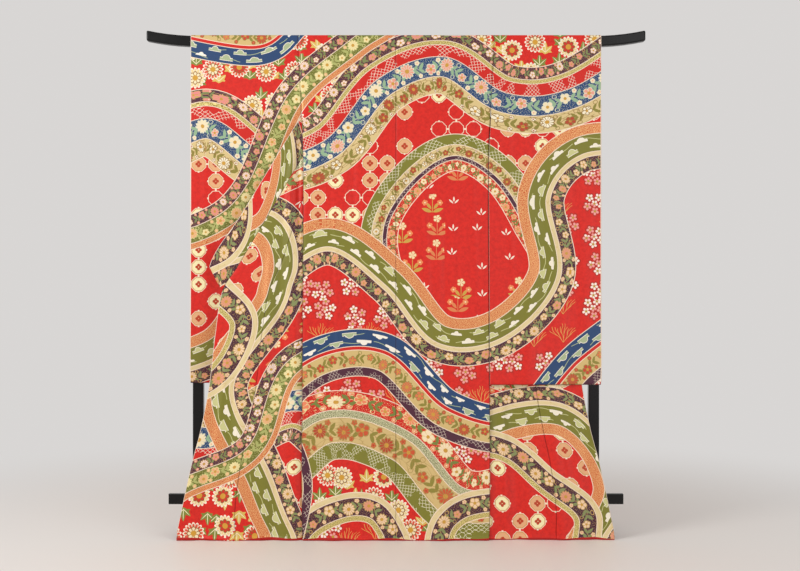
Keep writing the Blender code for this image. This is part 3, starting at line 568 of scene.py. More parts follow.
# The sizes of the solids that the shells of cloth follow, in metres
WALL = 0.002
SHELL = 0.0013
SHOULDER = 1.628
ON_RAIL_GAP = 0.0006
RAIL_TOP = SHOULDER - WALL - ON_RAIL_GAP
RAIL_DEEP, RAIL_BEVEL = 0.030, 0.005
FRONT_WIDE = 0.240
ROLL = 0.003
TUCK_FROM_EDGE, TUCK_DRAWN_IN = 0.042, 0.025
TWIST_TOP, TWIST_TALL = 1.600, 0.160
LEAST_TUCK = 0.008
TWIST_LEFT_FROM, TWIST_LEFT_WITHIN = 1.470, 0.050
LEFT_BEHIND, RIGHT_BEHIND = 0.0010, 0.0125
STEP_START, STEP_WIDE = 0.001, 0.024
SIDE_OPENING_END = 1.258
TOP_LEVEL = 1.585

Section = namedtuple("Section", "height side back front edge turn okumi collar")
SECTIONS = [
    Section(1.6205, 0.3220, -0.0168, 0.0168, 0.0300, 0, 0.0000, 0.0550),
    Section(1.5850, 0.3205, -0.0190, 0.0178, 0.0400, 12, 0.0000, 0.0560),
    Section(1.5400, 0.3185, -0.0225, 0.0110, 0.0800, 62, 0.0000, 0.0580),
    Section(1.4900, 0.3150, -0.0270, -0.0030, 0.1700, 132, 0.0000, 0.0600),
    Section(1.4400, 0.3120, -0.0318, -0.0190, 0.2400, 180, 0.0000, 0.0620),
    Section(1.3880, 0.3090, -0.0367, -0.0300, 0.2880, 180, 0.0010, 0.0680),
    Section(1.3300, 0.3055, -0.0413, -0.0370, 0.3260, 180, 0.0170, 0.0760),
    Section(1.2500, 0.3010, -0.0475, -0.0445, 0.3740, 180, 0.0380, 0.0830),
    Section(1.1500, 0.2990, -0.0553, -0.0523, 0.4330, 180, 0.0640, 0.0860),
    Section(1.0390, 0.2985, -0.0640, -0.0608, 0.4990, 180, 0.0930, 0.0880),
    Section(0.8670, 0.2985, -0.0774, -0.0740, 0.6010, 180, 0.1370, 0.0900),
    Section(0.7930, 0.2985, -0.0832, -0.0798, 0.5570, 180, 0.1500, 0.0000),
    Section(0.6490, 0.2985, -0.0944, -0.0910, 0.5800, 180, 0.1500, 0.0000),
    Section(0.4960, 0.2985, -0.1063, -0.1029, 0.5960, 180, 0.1500, 0.0000),
    Section(0.3500, 0.2985, -0.1177, -0.1143, 0.6220, 180, 0.1520, 0.0000),
    Section(0.2500, 0.2985, -0.1255, -0.1221, 0.6475, 180, 0.1570, 0.0000),
    Section(0.1500, 0.2975, -0.1333, -0.1299, 0.6690, 180, 0.1640, 0.0000),
    Section(0.0800, 0.2965, -0.1388, -0.1354, 0.6830, 180, 0.1730, 0.0000),
    Section(0.0300, 0.2955, -0.1425, -0.1391, 0.6930, 180, 0.1845, 0.0000),
    Section(0.0120, 0.2950, -0.1435, -0.1401, 0.6940, 180, 0.1850, 0.0000),
    Section(0.0000, 0.2950, -0.1435, -0.1401, 0.6930, 180, 0.1840, 0.0000),
]

# Broad folds, as on the solids. place is the distance from the middle, drift how far it moves outward towards
# the low end, deep how far the cloth stands off towards the back (+Y), half is half the fold's width.
Fold = namedtuple("Fold", "piece side place drift half deep top low")
FOLDS = [
    Fold("front", -1, 0.345, 0.045, 0.040, 0.0080, 1.15, 0.02),
    Fold("front", -1, 0.455, 0.070, 0.045, -0.0070, 0.86, 0.00),
    Fold("front", -1, 0.560, 0.060, 0.035, 0.0060, 0.62, 0.00),
    Fold("front", 1, 0.350, 0.040, 0.040, 0.0070, 0.95, 0.02),
    Fold("front", 1, 0.470, 0.060, 0.045, -0.0070, 0.80, 0.00),
    Fold("front", 1, 0.580, 0.055, 0.030, 0.0060, 0.55, 0.00),
    Fold("back", -1, 0.170, 0.030, 0.050, -0.0060, 0.75, 0.00),
    Fold("back", -1, 0.085, -0.015, 0.040, 0.0045, 0.60, 0.00),
    Fold("back", 1, 0.120, 0.025, 0.050, -0.0065, 0.70, 0.00),
    Fold("back", 1, 0.215, 0.015, 0.035, 0.0050, 0.55, 0.00),
    Fold("sleeve", -1, 0.420, 0.010, 0.045, 0.0060, 1.50, 0.49),
    Fold("sleeve", -1, 0.560, -0.010, 0.040, -0.0050, 1.40, 0.49),
    Fold("sleeve", 1, 0.430, -0.008, 0.050, -0.0050, 1.50, 0.49),
    Fold("sleeve", 1, 0.575, 0.008, 0.040, 0.0045, 1.40, 0.49),
]

# Creases pressed and hung into the silk, each placed one by one. A negative depth is a ridge towards the
# viewer.
CREASES = [
    Fold("back", -1, 0.286, 0.004, 0.009, -0.0027, 1.58, 0.40),
    Fold("back", -1, 0.236, 0.016, 0.011, 0.0022, 1.50, 0.62),
    Fold("back", -1, 0.196, -0.012, 0.008, -0.0020, 1.20, 0.16),
    Fold("back", -1, 0.131, 0.010, 0.012, 0.0026, 1.60, 0.90),
    Fold("back", -1, 0.052, 0.012, 0.009, -0.0019, 0.98, 0.02),
    Fold("back", 1, 0.040, -0.008, 0.010, 0.0020, 1.56, 0.80),
    Fold("back", 1, 0.094, 0.014, 0.008, -0.0020, 1.34, 0.42),
    Fold("back", 1, 0.158, -0.010, 0.012, 0.0024, 1.10, 0.05),
    Fold("back", 1, 0.247, 0.008, 0.009, -0.0022, 1.52, 0.70),
    Fold("back", 1, 0.275, -0.006, 0.008, 0.0019, 0.80, 0.03),
    Fold("front", -1, 0.310, 0.006, 0.007, 0.0120, 1.37, 0.88),
    Fold("front", -1, 0.332, 0.022, 0.008, -0.0058, 1.30, 0.60),
    Fold("front", -1, 0.352, 0.055, 0.009, 0.0034, 1.24, 0.30),
    Fold("front", -1, 0.398, 0.070, 0.012, -0.0037, 1.02, 0.06),
    Fold("front", -1, 0.470, 0.090, 0.010, 0.0031, 0.84, 0.05),
    Fold("front", -1, 0.530, 0.085, 0.008, -0.0027, 0.66, 0.03),
    Fold("front", 1, 0.330, 0.030, 0.010, -0.0031, 0.60, 0.03),
    Fold("front", 1, 0.410, 0.050, 0.012, 0.0034, 0.52, 0.02),
    Fold("front", 1, 0.520, 0.060, 0.009, -0.0031, 0.48, 0.03),
    Fold("sleeve", -1, 0.352, 0.006, 0.010, -0.0020, 1.57, 0.80),
    Fold("sleeve", -1, 0.470, -0.020, 0.012, 0.0020, 1.30, 0.55),
    Fold("sleeve", -1, 0.618, 0.006, 0.010, -0.0022, 1.44, 0.60),
    Fold("sleeve", 1, 0.366, 0.012, 0.010, -0.0024, 1.58, 0.74),
    Fold("sleeve", 1, 0.415, -0.010, 0.009, 0.0020, 1.20, 0.52),
    Fold("sleeve", 1, 0.498, 0.018, 0.013, -0.0024, 1.46, 0.60),
    Fold("sleeve", 1, 0.560, -0.006, 0.009, 0.0019, 0.98, 0.50),
    Fold("sleeve", 1, 0.632, 0.004, 0.009, -0.0022, 1.52, 0.86),
]

# How far a crease sways to its sides, and how fast folds and creases come and go along their length
CREASE_SWAY, SWAYS, SWAY_SHIFT = 0.004, 5, 40
FOLD_RUNS_IN, CREASE_RUNS_IN, CREASE_RUNS_OUT = 1.6, 5, 4

# The padded hem, a roll of lining silk turned up under each panel
HEM_TOP, HEM_STEP = 0.0140, 0.003
HEM_MIDDLE, HEM_TALL, HEM_DEEP, HEM_PROUD = 0.0054, 0.0048, 0.0023, 0.0013
SEAM_DIP, SEAM_HALF = 0.0011, 0.0040


def along(table, column, height):
    """A column of a table at any heights, along a smooth curve through its rows"""
    at = -np.array([row.height for row in table])
    value = np.array([getattr(row, column) for row in table], float)
    slope = np.empty(len(at))
    slope[1:-1] = (value[2:] - value[:-2]) / (at[2:] - at[:-2])
    slope[0] = (value[1] - value[0]) / (at[1] - at[0])
    slope[-1] = (value[-1] - value[-2]) / (at[-1] - at[-2])
    spot = np.clip(np.searchsorted(at, -height, side="right") - 1, 0, len(at) - 2)
    span = at[spot + 1] - at[spot]
    t = np.clip((-height - at[spot]) / span, 0, 1)
    level = value[spot] * (1 + 2 * t) * (1 - t) ** 2 + value[spot + 1] * t * t * (3 - 2 * t)
    return level + span * t * (1 - t) * (slope[spot] * (1 - t) - slope[spot + 1] * t)


def ease(value):
    """0 to 1 with a soft start and end"""
    value = np.clip(value, 0, 1)
    return value * value * (3 - 2 * value)


def folded(piece, side, x, height):
    """How far the broad folds and the creases move the cloth towards the back"""
    moved = np.zeros(np.broadcast(x, height).shape)
    for fold in FOLDS:
        if (fold.piece, fold.side) == (piece, side):
            run = (fold.top - height) / (fold.top - fold.low)
            off = np.minimum(np.abs(x - fold.place - fold.drift * run) / fold.half, 1)
            bulge = 0.5 + 0.5 * np.cos(np.pi * off)
            moved += np.where(run > 0, fold.deep * ease(run * FOLD_RUNS_IN) * bulge, 0)
    for fold in CREASES:
        if (fold.piece, fold.side) == (piece, side):
            run = (fold.top - height) / (fold.top - fold.low)
            sway = CREASE_SWAY * np.sin(run * SWAYS + fold.place * SWAY_SHIFT)
            off = (x - fold.place - fold.drift * run - sway) / fold.half
            shown = ease(run * CREASE_RUNS_IN) * ease((1 - run) * CREASE_RUNS_OUT)
            moved += fold.deep * np.exp(-off * off) * shown
    return moved


def seam_dip(distance):
    """How far a sewn edge sinks"""
    return SEAM_DIP * np.exp(-((distance / SEAM_HALF) ** 2))


def tuck_at(height):
    """How far the front panel goes behind the back before it turns over"""
    side, edge, okumi, collar = (
        along(SECTIONS, column, height) for column in ("side", "edge", "okumi", "collar")
    )
    twisted = FRONT_WIDE - TUCK_FROM_EDGE - TUCK_DRAWN_IN * ease((TWIST_TOP - height) / TWIST_TALL)
    flat = np.maximum((side + FRONT_WIDE + okumi + collar - math.pi * ROLL - edge) / 2, LEAST_TUCK)
    return twisted + (flat - twisted) * ease((TWIST_LEFT_FROM - height) / TWIST_LEFT_WITHIN)


def front_point(side, across, height):
    """Points of a front, with across in metres of cloth from the side seam towards the front edge"""
    across, height = np.broadcast_arrays(across, height)
    seam, back, front, turn = (
        along(SECTIONS, column, height) for column in ("side", "back", "front", "turn")
    )
    turn = np.radians(np.clip(turn, 0, 180))
    tuck = tuck_at(height)
    beyond = np.maximum(across - tuck, 0)
    angle = np.minimum(beyond / ROLL, turn)
    run = beyond - ROLL * angle
    x = seam - np.minimum(across, tuck) - ROLL * np.sin(angle) - run * np.cos(angle)
    depth = front + ROLL * (1 - np.cos(angle)) + run * np.sin(angle)
    behind = LEFT_BEHIND if side < 0 else RIGHT_BEHIND
    beside = back + behind + folded("front", side, x, height)
    depth = depth + np.where(x > seam, (beside - depth) * ease((x - seam - STEP_START) / STEP_WIDE), 0)
    return np.stack([side * x, depth, height], axis=-1)


def back_point(side, across, height):
    """Points of the back, with across from 0 at the side seam to 1 at the middle of the back"""
    across, height = np.broadcast_arrays(across, height)
    seam = along(SECTIONS, "side", height)
    x = seam * (1 - across)
    depth = along(SECTIONS, "back", height) + folded("back", side, x, height) * np.sin(np.pi * across)
    depth = depth + seam_dip(x) + seam_dip(seam - x)
    return np.stack([side * x, depth, height], axis=-1)


def over_rail(side, x):
    """Rows across the top of the rail, near side to far side, and how far round they lie"""
    reach = RAIL_BEVEL + WALL / 2 + ON_RAIL_GAP
    middle = RAIL_DEEP / 2 - RAIL_BEVEL + 0.0002
    turns = np.radians([0, 18, 36, 54, 72, 90])
    spots = [(-middle - reach * math.cos(turn), reach * math.sin(turn)) for turn in turns]
    spots += [(-middle / 3, reach), (middle / 3, reach)]
    spots += [(-depth, up) for depth, up in reversed(spots[:6])]
    level = RAIL_TOP - RAIL_BEVEL
    rows = [
        np.stack([side * x, np.full_like(x, depth), np.full_like(x, level + up)], -1) for depth, up in spots
    ]
    walked = np.cumsum([0] + [math.dist(a, b) for a, b in zip(spots, spots[1:])])
    return rows, walked


# Where the pattern is dyed, the cloth counts as one flat sheet: across it from the middle of the back, and up
# the back, over the shoulder and down the fronts. Each point keeps its place there in the attribute "cloth".
FOLD_LINE = 1.6205
ROUND_RAIL = 0.0411


def beyond_fold(height):
    """The place up the flat sheet of a point on the far side of the rail"""
    return 2 * FOLD_LINE + ROUND_RAIL - height


def hem_rows(row, proud=-1.0):
    """Rows that turn a panel's lower edge up into a padded roll, from the roll's top round under it"""
    made = []
    for turn in np.radians(np.arange(0, 316, 35)):
        low = row.copy()
        low[:, 1] += proud * (HEM_PROUD + HEM_DEEP * np.sin(turn))
        low[:, 2] = HEM_MIDDLE + HEM_TALL * np.cos(turn)
        made.append(low)
    return made


def signs(row, from_seam=0.1, from_edge=0.1, from_hem=1.0):
    """For each point of a row, its distances from a seam, from a finished edge and from the hem's roll"""
    return np.stack([np.broadcast_to(each, len(row)) for each in (from_seam, from_edge, from_hem)], -1)


def places(across, up):
    """For each point of a row, its place on the flat sheet"""
    across, up = np.broadcast_arrays(across, up)
    return np.stack([across, up, 0 * up], -1)


def cloth_object(name, rows, strips=(), seen=(0, 0)):
    """A shell of cloth through rows, each of them its points, their places on the flat sheet and their signs.
    strips close gaps: two edges by row and column, with rows between. seen is the row and column of a face
    whose dyed side looks at the viewer"""
    starts = np.cumsum([0] + [len(row[0]) for row in rows])
    faces, first_face = [], []
    for k, (above, below) in enumerate(zip(rows, rows[1:])):
        first_face.append(len(faces))
        for j in range(min(len(above[0]), len(below[0])) - 1):
            a, b = int(starts[k]) + j, int(starts[k + 1]) + j
            faces.append((a, a + 1, b + 1, b))
    points, flat, marks = (np.concatenate([row[part] for row in rows]) for part in range(3))
    for edge, between, other in strips:
        lines = [[int(starts[row]) + column for row, column in edge]]
        for row in between:
            lines.append(list(range(len(points), len(points) + len(row[0]))))
            points, flat, marks = (np.concatenate(pair) for pair in zip((points, flat, marks), row))
        lines.append([int(starts[row]) + column for row, column in other])
        for one, two in zip(lines, lines[1:]):
            faces += [(one[k], two[k], two[k + 1], one[k + 1]) for k in range(len(one) - 1)]
    mesh = bpy.data.meshes.new(f"silk_{name}")
    mesh.from_pydata(points.tolist(), [], faces)
    builder = bmesh.new()
    builder.from_mesh(mesh)
    bmesh.ops.recalc_face_normals(builder, faces=builder.faces)
    builder.faces.ensure_lookup_table()
    if builder.faces[first_face[seen[0]] + seen[1]].normal.y > 0:
        bmesh.ops.reverse_faces(builder, faces=builder.faces)
    builder.to_mesh(mesh)
    builder.free()
    mesh.shade_smooth()
    dye(mesh, flat, marks)
    piece = bpy.data.objects.new(f"silk_{name}", mesh)
    bpy.context.scene.collection.objects.link(piece)
    mesh.materials.append(DYED_SILK)
    mesh.materials.append(LINING)
    wall = piece.modifiers.new("two layers of silk", "SOLIDIFY")
    wall.thickness = SHELL
    wall.offset = 0
    wall.material_offset = 1
    wall.material_offset_rim = 1
    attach(piece, "root")
    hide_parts(name)
    return piece


LEVELS = np.linspace(HEM_TOP, TOP_LEVEL, 196)
TUCKED, TURNED, SHOWN, NECK = 16, 8, 50, 26
BACK_EVENED_BY = 0.5
SLIPS_ALONG, SLIPS_FROM, SLIPS_WITHIN = 0.62, 1.40, 0.30
PROUD_BEHIND = 0.3
SEAM_STANDS_OUT = 0.0010


def front_places(height):
    """Places across a front panel, in metres of cloth, closer together round the tuck"""
    tuck = tuck_at(height)[:, None]
    last = tuck + ROLL * math.pi
    turned = tuck + ROLL * math.pi * np.linspace(0, 1, TURNED + 1)
    shown = last + (FRONT_WIDE - last) * np.linspace(0, 1, SHOWN + 1)[1:]
    return np.concatenate([tuck * np.linspace(0, 1, TUCKED + 1)[:-1], turned, shown], axis=1)


def front_up(side, height):
    """How far up the flat sheet a point of a front lies. The right front, from where it hides behind the back
    downwards, takes its pattern from further along"""
    slip = SLIPS_ALONG * ease((SLIPS_FROM - height) / SLIPS_WITHIN) if side > 0 else 0
    return beyond_fold(height) - slip


def hem_proud(side, row, across):
    """How far towards the viewer each place of a front has its hem's roll, less where the back hides it"""
    seam, tuck = SECTIONS[-1].side, tuck_at(np.array([HEM_TOP]))[0]
    turned = np.clip((across - tuck) / (math.pi * ROLL), 0, 1)
    beside = ease((side * row[:, 0] - seam - STEP_START) / STEP_WIDE)
    shown = -PROUD_BEHIND - (1 - PROUD_BEHIND) * beside
    return np.where(turned < 1, PROUD_BEHIND * np.cos(math.pi * turned), shown)


for side, label in ((-1, "left"), (1, "right")):
    seam_top = SECTIONS[0].side
    at_top = front_places(np.array([FOLD_LINE]))[0]
    at_top = np.append(at_top, at_top[-1] + (seam_top - at_top[-1]) * np.linspace(0, 1, NECK + 1)[1:])
    evened = ease((FOLD_LINE - LEVELS) / BACK_EVENED_BY)[:, None]
    shares = at_top / seam_top * (1 - evened) + np.linspace(0, 1, len(at_top)) * evened
    back = back_point(side, shares, LEVELS[:, None])
    rows = []
    for k, row in reversed(list(enumerate(hem_rows(back[0])))):
        marks = signs(row, from_hem=-HEM_STEP * k - 0.001)
        rows.append((row, places(row[:, 0], HEM_TOP - HEM_STEP * k), marks))
    first_back = len(rows)
    for row, level in zip(back, LEVELS):
        from_middle = side * row[:, 0]
        from_seam = np.minimum(from_middle, along(SECTIONS, "side", level) - from_middle)
        rows.append((row, places(row[:, 0], level), signs(row, from_seam, from_hem=level - HEM_TOP)))
    for row, walked in zip(*over_rail(side, seam_top - at_top)):
        from_seam = np.minimum(seam_top - at_top, at_top)
        rows.append((row, places(row[:, 0], FOLD_LINE + walked), signs(row, from_seam)))
    first_front = len(rows)
    front_across = front_places(LEVELS)
    front = front_point(side, front_across, LEVELS[:, None])
    front[..., 1] += seam_dip(FRONT_WIDE - front_across)
    for row, across, level in reversed(list(zip(front, front_across, LEVELS))):
        from_seam = np.minimum(FRONT_WIDE - across, across)
        up = front_up(side, level)
        marks = signs(row, from_seam, from_hem=level - HEM_TOP)
        rows.append((row, places(side * (seam_top - across), up), marks))
    across = front_across[0]
    for k, row in enumerate(hem_rows(front[0], hem_proud(side, front[0], across))):
        up = front_up(side, HEM_TOP) + HEM_STEP * k
        rows.append((row, places(side * (seam_top - across), up), signs(row, from_hem=-HEM_STEP * k - 0.001)))
    sewn = [k for k, level in enumerate(LEVELS) if level < SIDE_OPENING_END]
    near_edge = [(first_back + k, 0) for k in sewn]
    far_edge = [(first_front + len(LEVELS) - 1 - k, 0) for k in sewn]
    middle = (back[sewn, 0] + front[sewn, 0]) / 2 + (side * SEAM_STANDS_OUT, 0, 0)
    between = (middle, places(middle[:, 0], middle[:, 2]), signs(middle, 0, from_hem=middle[:, 2] - HEM_TOP))
    strips = [(near_edge, [between], far_edge)]
    body = cloth_object(f"body_{label}", rows, strips, seen=(first_back + 40, 20))

# Sleeves. Each is one length folded over the rail, its two layers sewn together along the bottom and up the
# outer edge to the wrist opening, and sewn to the body at the top only. Its long inner edge hangs free.
Sleeve = namedtuple("Sleeve", "height out far_out left_in left_out right_in right_out gap_in gap_out")
SLEEVES = [
    Sleeve(1.6205, 0.6710, 0.6710, -0.0168, -0.0168, -0.0168, -0.0168, 0.0336, 0.0336),
    Sleeve(1.5850, 0.6710, 0.6180, -0.0190, -0.0180, -0.0190, -0.0180, 0.0368, 0.0358),
    Sleeve(1.5400, 0.6705, 0.6120, -0.0225, -0.0205, -0.0225, -0.0205, 0.0335, 0.0195),
    Sleeve(1.4900, 0.6705, 0.6170, -0.0270, -0.0240, -0.0270, -0.0240, 0.0240, 0.0052),
    Sleeve(1.4400, 0.6700, 0.6450, -0.0318, -0.0240, -0.0318, -0.0260, 0.0128, 0.0048),
    Sleeve(1.3980, 0.6700, 0.6700, -0.0342, -0.0240, -0.0357, -0.0285, 0.0075, 0.0046),
    Sleeve(1.3880, 0.6700, 0.6700, -0.0338, -0.0240, -0.0367, -0.0290, 0.0067, 0.0046),
    Sleeve(1.3680, 0.6700, 0.6700, -0.0305, -0.0240, -0.0392, -0.0303, 0.0057, 0.0046),
    Sleeve(1.3400, 0.6700, 0.6700, -0.0265, -0.0240, -0.0430, -0.0325, 0.0055, 0.0046),
    Sleeve(1.2500, 0.6700, 0.6700, -0.0235, -0.0240, -0.0515, -0.0395, 0.0052, 0.0046),
    Sleeve(1.0390, 0.6700, 0.6700, -0.0230, -0.0245, -0.0680, -0.0570, 0.0052, 0.0046),
    Sleeve(0.7930, 0.6705, 0.6705, -0.0230, -0.0245, -0.0872, -0.0770, 0.0052, 0.0046),
    Sleeve(0.6490, 0.6710, 0.6710, -0.0230, -0.0245, -0.0984, -0.0885, 0.0050, 0.0046),
    Sleeve(0.5300, 0.6715, 0.6715, -0.0230, -0.0245, -0.1077, -0.0980, 0.0048, 0.0046),
    Sleeve(0.4920, 0.6700, 0.6700, -0.0230, -0.0245, -0.1107, -0.1010, 0.0046, 0.0046),
]
ARMHOLE_END = 1.388
CUFF_END = 1.398
SLEEVE_END = 0.492
RIGHT_DRAWN_FROM, RIGHT_DRAWN_IN = 1.50, 0.014
SEAM_GAP, FREE_EDGE_GAP, FREED_WITHIN = 0.0003, 0.0018, 0.02
SHUT_EDGE_ROUND = 0.0012
sleeve_levels = np.linspace(SLEEVE_END, TOP_LEVEL, 140)
CLOSER_AT_ENDS = 0.06
sleeve_shares = np.cos(np.pi * np.linspace(CLOSER_AT_ENDS, 1 - CLOSER_AT_ENDS, 84))
sleeve_shares = 0.5 - 0.5 * sleeve_shares / math.cos(CLOSER_AT_ENDS * np.pi)


def sleeve_point(side, share, height, far):
    """Points of a sleeve's near or far layer, with share from 0 at the body to 1 at the outer edge"""
    share, height = np.broadcast_arrays(share, height)
    ends = ("left_in", "left_out") if side < 0 else ("right_in", "right_out")
    columns = ("far_out" if far else "out", *ends, "gap_in", "gap_out")
    out, inner, outer, gap_in, gap_out = (along(SLEEVES, column, height) for column in columns)
    free = ease((ARMHOLE_END - height) / FREED_WITHIN)
    start = along(SECTIONS, "side", height) + SEAM_GAP / 2 + FREE_EDGE_GAP * free
    out = out - (RIGHT_DRAWN_IN * np.maximum(RIGHT_DRAWN_FROM - height, 0) if side > 0 else 0)
    x = start + (out - start) * share
    depth = inner + (outer - inner) * share + folded("sleeve", side, x, height) * np.sin(np.pi * share)
    depth = depth + (gap_in + (gap_out - gap_in) * share if far else 0)
    sewn = np.where(height > ARMHOLE_END, x - start, 1)
    depth = depth + seam_dip(sewn) * (-1 if far else 1)
    return np.stack([side * x, depth, height], axis=-1)


def sleeve_signs(side, row, level):
    """The signs of a sleeve's row. It is sewn to the body at the top and shut below, and its lining shows as
    a thin line along its outer edge"""
    from_inner, from_outer = abs(row[:, 0] - row[0, 0]), abs(row[-1, 0] - row[:, 0])
    from_seam = np.minimum(from_inner if level > ARMHOLE_END else 1, level - SLEEVE_END)
    return signs(row, from_seam, from_outer)


for side, label in ((-1, "left"), (1, "right")):
    near = sleeve_point(side, sleeve_shares, sleeve_levels[:, None], far=False)
    far = sleeve_point(side, sleeve_shares, sleeve_levels[:, None], far=True)
    top_in = SECTIONS[0].side + SEAM_GAP / 2
    rows = []
    across_bottom = far[0, :, 1] - near[0, :, 1]
    for k, (share, drop) in enumerate(((0.62, 0.0014), (0.38, 0.0014), (0.12, 0.0008), (0, 0))):
        row = near[0] + np.stack([0 * across_bottom, share * across_bottom, 0 * across_bottom - drop], -1)
        up = beyond_fold(SLEEVE_END) + 0.002 if k == 0 else SLEEVE_END - 0.001 * (3 - k)
        rows.append((row, places(row[:, 0], up), signs(row, 0)))
    first_near = len(rows)
    for row, level in list(zip(near, sleeve_levels))[1:]:
        rows.append((row, places(row[:, 0], level), sleeve_signs(side, row, level)))
    for row, walked in zip(*over_rail(side, top_in + (SLEEVES[0].out - top_in) * sleeve_shares)):
        rows.append((row, places(row[:, 0], FOLD_LINE + walked), sleeve_signs(side, row, FOLD_LINE)))
    first_far = len(rows)
    for row, level in reversed(list(zip(far, sleeve_levels))):
        rows.append((row, places(row[:, 0], beyond_fold(level)), sleeve_signs(side, row, level)))
    last = far[0] + np.stack([0 * across_bottom, -0.12 * across_bottom, 0 * across_bottom - 0.0008], -1)
    rows.append((last, places(last[:, 0], beyond_fold(SLEEVE_END) + 0.001), signs(last, 0)))
    end = len(sleeve_shares) - 1
    shut = [k for k, level in enumerate(sleeve_levels) if 0 < k and level < CUFF_END]
    near_edge = [(first_near + k - 1, end) for k in shut]
    far_edge = [(first_far + len(sleeve_levels) - 1 - k, end) for k in shut]
    between = []
    for share in (0.25, 0.75):
        row = near[shut, end] + (far[shut, end] - near[shut, end]) * share + (side * SHUT_EDGE_ROUND, 0, 0)
        up = row[:, 2] if share < 0.5 else beyond_fold(row[:, 2])
        between.append((row, places(row[:, 0], up), signs(row, 0.1, 0)))
    bottom_far = [(len(rows) - 1, k) for k in range(end + 1)]
    bottom_near = [(0, k) for k in range(end + 1)]
    strips = [(near_edge, between, far_edge), (bottom_far, [], bottom_near)]
    sleeve = cloth_object(f"sleeve_{label}", rows, strips, seen=(first_near + 40, 30))

# Okumi, the overlap strips, sewn along the inner edges of the fronts. They run into a point under the collar.
OKUMI_TOP = 1.386
COLLAR_END_SEAM = 0.793
for side, label in ((-1, "left"), (1, "right")):
    levels = np.append(LEVELS[LEVELS < OKUMI_TOP - 0.002], OKUMI_TOP)
    wide = along(SECTIONS, "okumi", levels)[:, None] * np.linspace(0, 1, 40)
    points = front_point(side, FRONT_WIDE + wide, levels[:, None])
    above_end = levels[:, None] > COLLAR_END_SEAM
    points[..., 1] += seam_dip(wide) + np.where(above_end, seam_dip(wide[:, -1:] - wide), 0)
    rows = []
    for row, across, level in reversed(list(zip(points, wide, levels))):
        rest = across[-1] - across
        from_seam = np.minimum(across, rest) if level > COLLAR_END_SEAM else across
        from_edge = 1 if level > COLLAR_END_SEAM else rest
        flat = places(side * (seam_top - FRONT_WIDE - across), front_up(side, level))
        rows.append((row, flat, signs(row, from_seam, from_edge, level - HEM_TOP)))
    for k, row in enumerate(hem_rows(points[0])):
        flat = places(side * (seam_top - FRONT_WIDE - wide[0]), front_up(side, HEM_TOP) + HEM_STEP * k)
        rows.append((row, flat, signs(row, from_hem=-HEM_STEP * k - 0.001)))
    okumi = cloth_object(f"okumi_{label}", rows, seen=(100, 20))

# The collar, one band round the neck and down both fronts, doubled over and cut square at its two ends
COLLAR_END_FREE = 0.867
COLLAR_SLANT_TOP, COLLAR_SLANT_TALL = 1.50, 0.30
NECK_SEAM_HEIGHT = RAIL_TOP - RAIL_BEVEL - SEAM_GAP
NECK_SIDE = SECTIONS[0].side - FRONT_WIDE - WALL
NECK_DEPTH = RAIL_DEEP / 2 + WALL / 2 + 0.001
NECK_STEPS = 8
collar_across = np.linspace(0, 1, 26)
PATTERN_FROM_MIDDLE, OTHER_HALF_SLIPS = 0.08, 0.3
neck_stations = [
    ((0.0, NECK_DEPTH, NECK_SEAM_HEIGHT), (0.000, 0.0270, 1.5650)),
    ((NECK_SIDE / 2, NECK_DEPTH, NECK_SEAM_HEIGHT), (0.023, 0.0280, 1.5655)),
    ((NECK_SIDE, NECK_DEPTH, NECK_SEAM_HEIGHT - 0.002), (0.038, 0.0330, 1.5680)),
]
halves = []
for side in (-1, 1):
    heights = np.linspace(TOP_LEVEL, COLLAR_END_SEAM, 110)
    lift = (COLLAR_END_FREE - COLLAR_END_SEAM) * ease((COLLAR_SLANT_TOP - heights) / COLLAR_SLANT_TALL)
    level = heights[:, None] + lift[:, None] * collar_across
    inner = FRONT_WIDE + along(SECTIONS, "okumi", level) + SEAM_GAP / 2
    across = inner + along(SECTIONS, "collar", np.maximum(level, COLLAR_END_FREE)) * collar_across
    hanging = front_point(side, across, level)
    neck = np.array([
        np.outer(1 - collar_across, start) + np.outer(collar_across, end) for start, end in neck_stations])
    neck[..., 0] *= side
    guide = np.concatenate([neck * (-1, 1, 1), neck, hanging[:1], hanging[4:5]])[[1, 3, 4, 5, 6, 7]]
    made = np.concatenate([smooth_curve(guide, NECK_STEPS), hanging])
    made[..., 1] += seam_dip(across[0] - inner[0])
    halves.append(made)
rows = []
for side, made in zip((-1, 1), halves):
    kept = made[::-1] if side < 0 else made[1:]
    walked = np.cumsum(np.linalg.norm(np.diff(made[:, 0], axis=0, prepend=made[:1, 0]), axis=1))
    walked = walked[::-1] if side < 0 else walked[1:]
    for row, along_seam in zip(kept, walked):
        wide = np.linalg.norm(row - row[0], axis=1)
        slip = OTHER_HALF_SLIPS if side > 0 else 0
        flat = places(side * (PATTERN_FROM_MIDDLE - wide), beyond_fold(FOLD_LINE) + along_seam - slip)
        rows.append((row, flat, signs(row, wide, wide[-1] - wide)))
collar = cloth_object("collar", rows, seen=(40, 12))

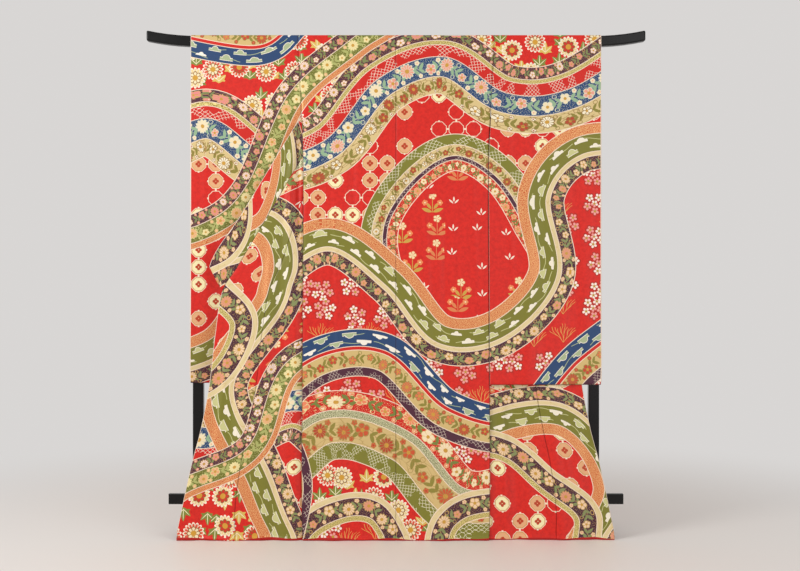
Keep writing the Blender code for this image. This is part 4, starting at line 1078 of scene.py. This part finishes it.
# The stand, of wood under black lacquer: a top rail with gently rising ends, two posts, a crossbar that runs
# through both, and two feet. Its pieces are the solids themselves. The lacquer is brushed on and polished:
# deep and smooth, with soft ripples about 4 cm long that break its reflections a little.
BLACK_LACQUER, tree, shader = new_finish("black lacquer, brushed and polished")
ripple = node("TexNoise", node("TexCoord", out=3), 24.0, 3.0, 0.55)
tree.links.new(dyed_over("060606", ("0d0c0c", ripple)), shader.inputs["Base Color"])
tree.links.new(node("MULTIPLY_ADD", ripple, 0.20, 0.20), shader.inputs["Roughness"])
tree.links.new(node("Bump", 0.3, 0.0006, 0.1, ripple), shader.inputs["Normal"])
shader.inputs["Specular IOR Level"].default_value = 0.28
for name in ("rail", "crossbar", "post_left", "post_right", "foot_left", "foot_right"):
    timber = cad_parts[name]
    timber.data.materials.clear()
    timber.data.materials.append(BLACK_LACQUER)

# A plain pale room, softly lit, and the camera straight in front at half height. The floor is matt, and fades
# into the room's light far off.
ROOM = (0.690, 0.672, 0.660)
FADES_FROM, FADES_TO = 0.75, 2.6
PALE_FLOOR, tree, shader = new_finish("matt pale floor")
shader.inputs["Base Color"].default_value = linear("ebe4de")
shader.inputs["Roughness"].default_value = 0.5
away = node("VectorMath LENGTH", node("TexCoord", out=3))
fade = node("MapRange", away, FADES_FROM, FADES_TO, 0.0, 1.0, interpolation_type="SMOOTHSTEP")
mixed = node("MixShader", fade, shader.outputs[0], node("Emission", (*ROOM, 1), 1.0))
tree.links.new(mixed, tree.nodes["Material Output"].inputs["Surface"])
bpy.ops.mesh.primitive_plane_add(size=40)
floor = bpy.context.active_object
floor.name = "floor"
floor.data.materials.append(PALE_FLOOR)
world = bpy.data.worlds.new("pale room")
bpy.context.scene.world = world
world.use_nodes = True
tree = world.node_tree
by_camera = node("LightPath")
tree.links.new(node("Mix FLOAT", by_camera, 0.87, 1.0), tree.nodes["Background"].inputs["Strength"])
tree.nodes["Background"].inputs["Color"].default_value = (*ROOM, 1)
AIMED_AT = Vector((0, 0, 0.8))
for name, where, power, size in (("key", (-2.9, -2.4, 2.6), 78, 1.5), ("fill", (2.4, -3.4, 1.6), 38, 2.6)):
    light = bpy.data.lights.new(name, "AREA")
    light.energy, light.size = power, size
    lamp = bpy.data.objects.new(name, light)
    lamp.location = where
    lamp.rotation_euler = (AIMED_AT - Vector(where)).to_track_quat("-Z", "Y").to_euler()
    bpy.context.scene.collection.objects.link(lamp)
lens = bpy.data.cameras.new("camera")
lens.lens, lens.sensor_width = 55.1, 36
camera = bpy.data.objects.new("camera", lens)
camera.location = (0.0131, -4.02, 0.8078)
camera.rotation_euler = (math.pi / 2, 0, 0)
bpy.context.scene.collection.objects.link(camera)
bpy.context.scene.camera = camera
bpy.context.scene.view_settings.view_transform = "Standard"
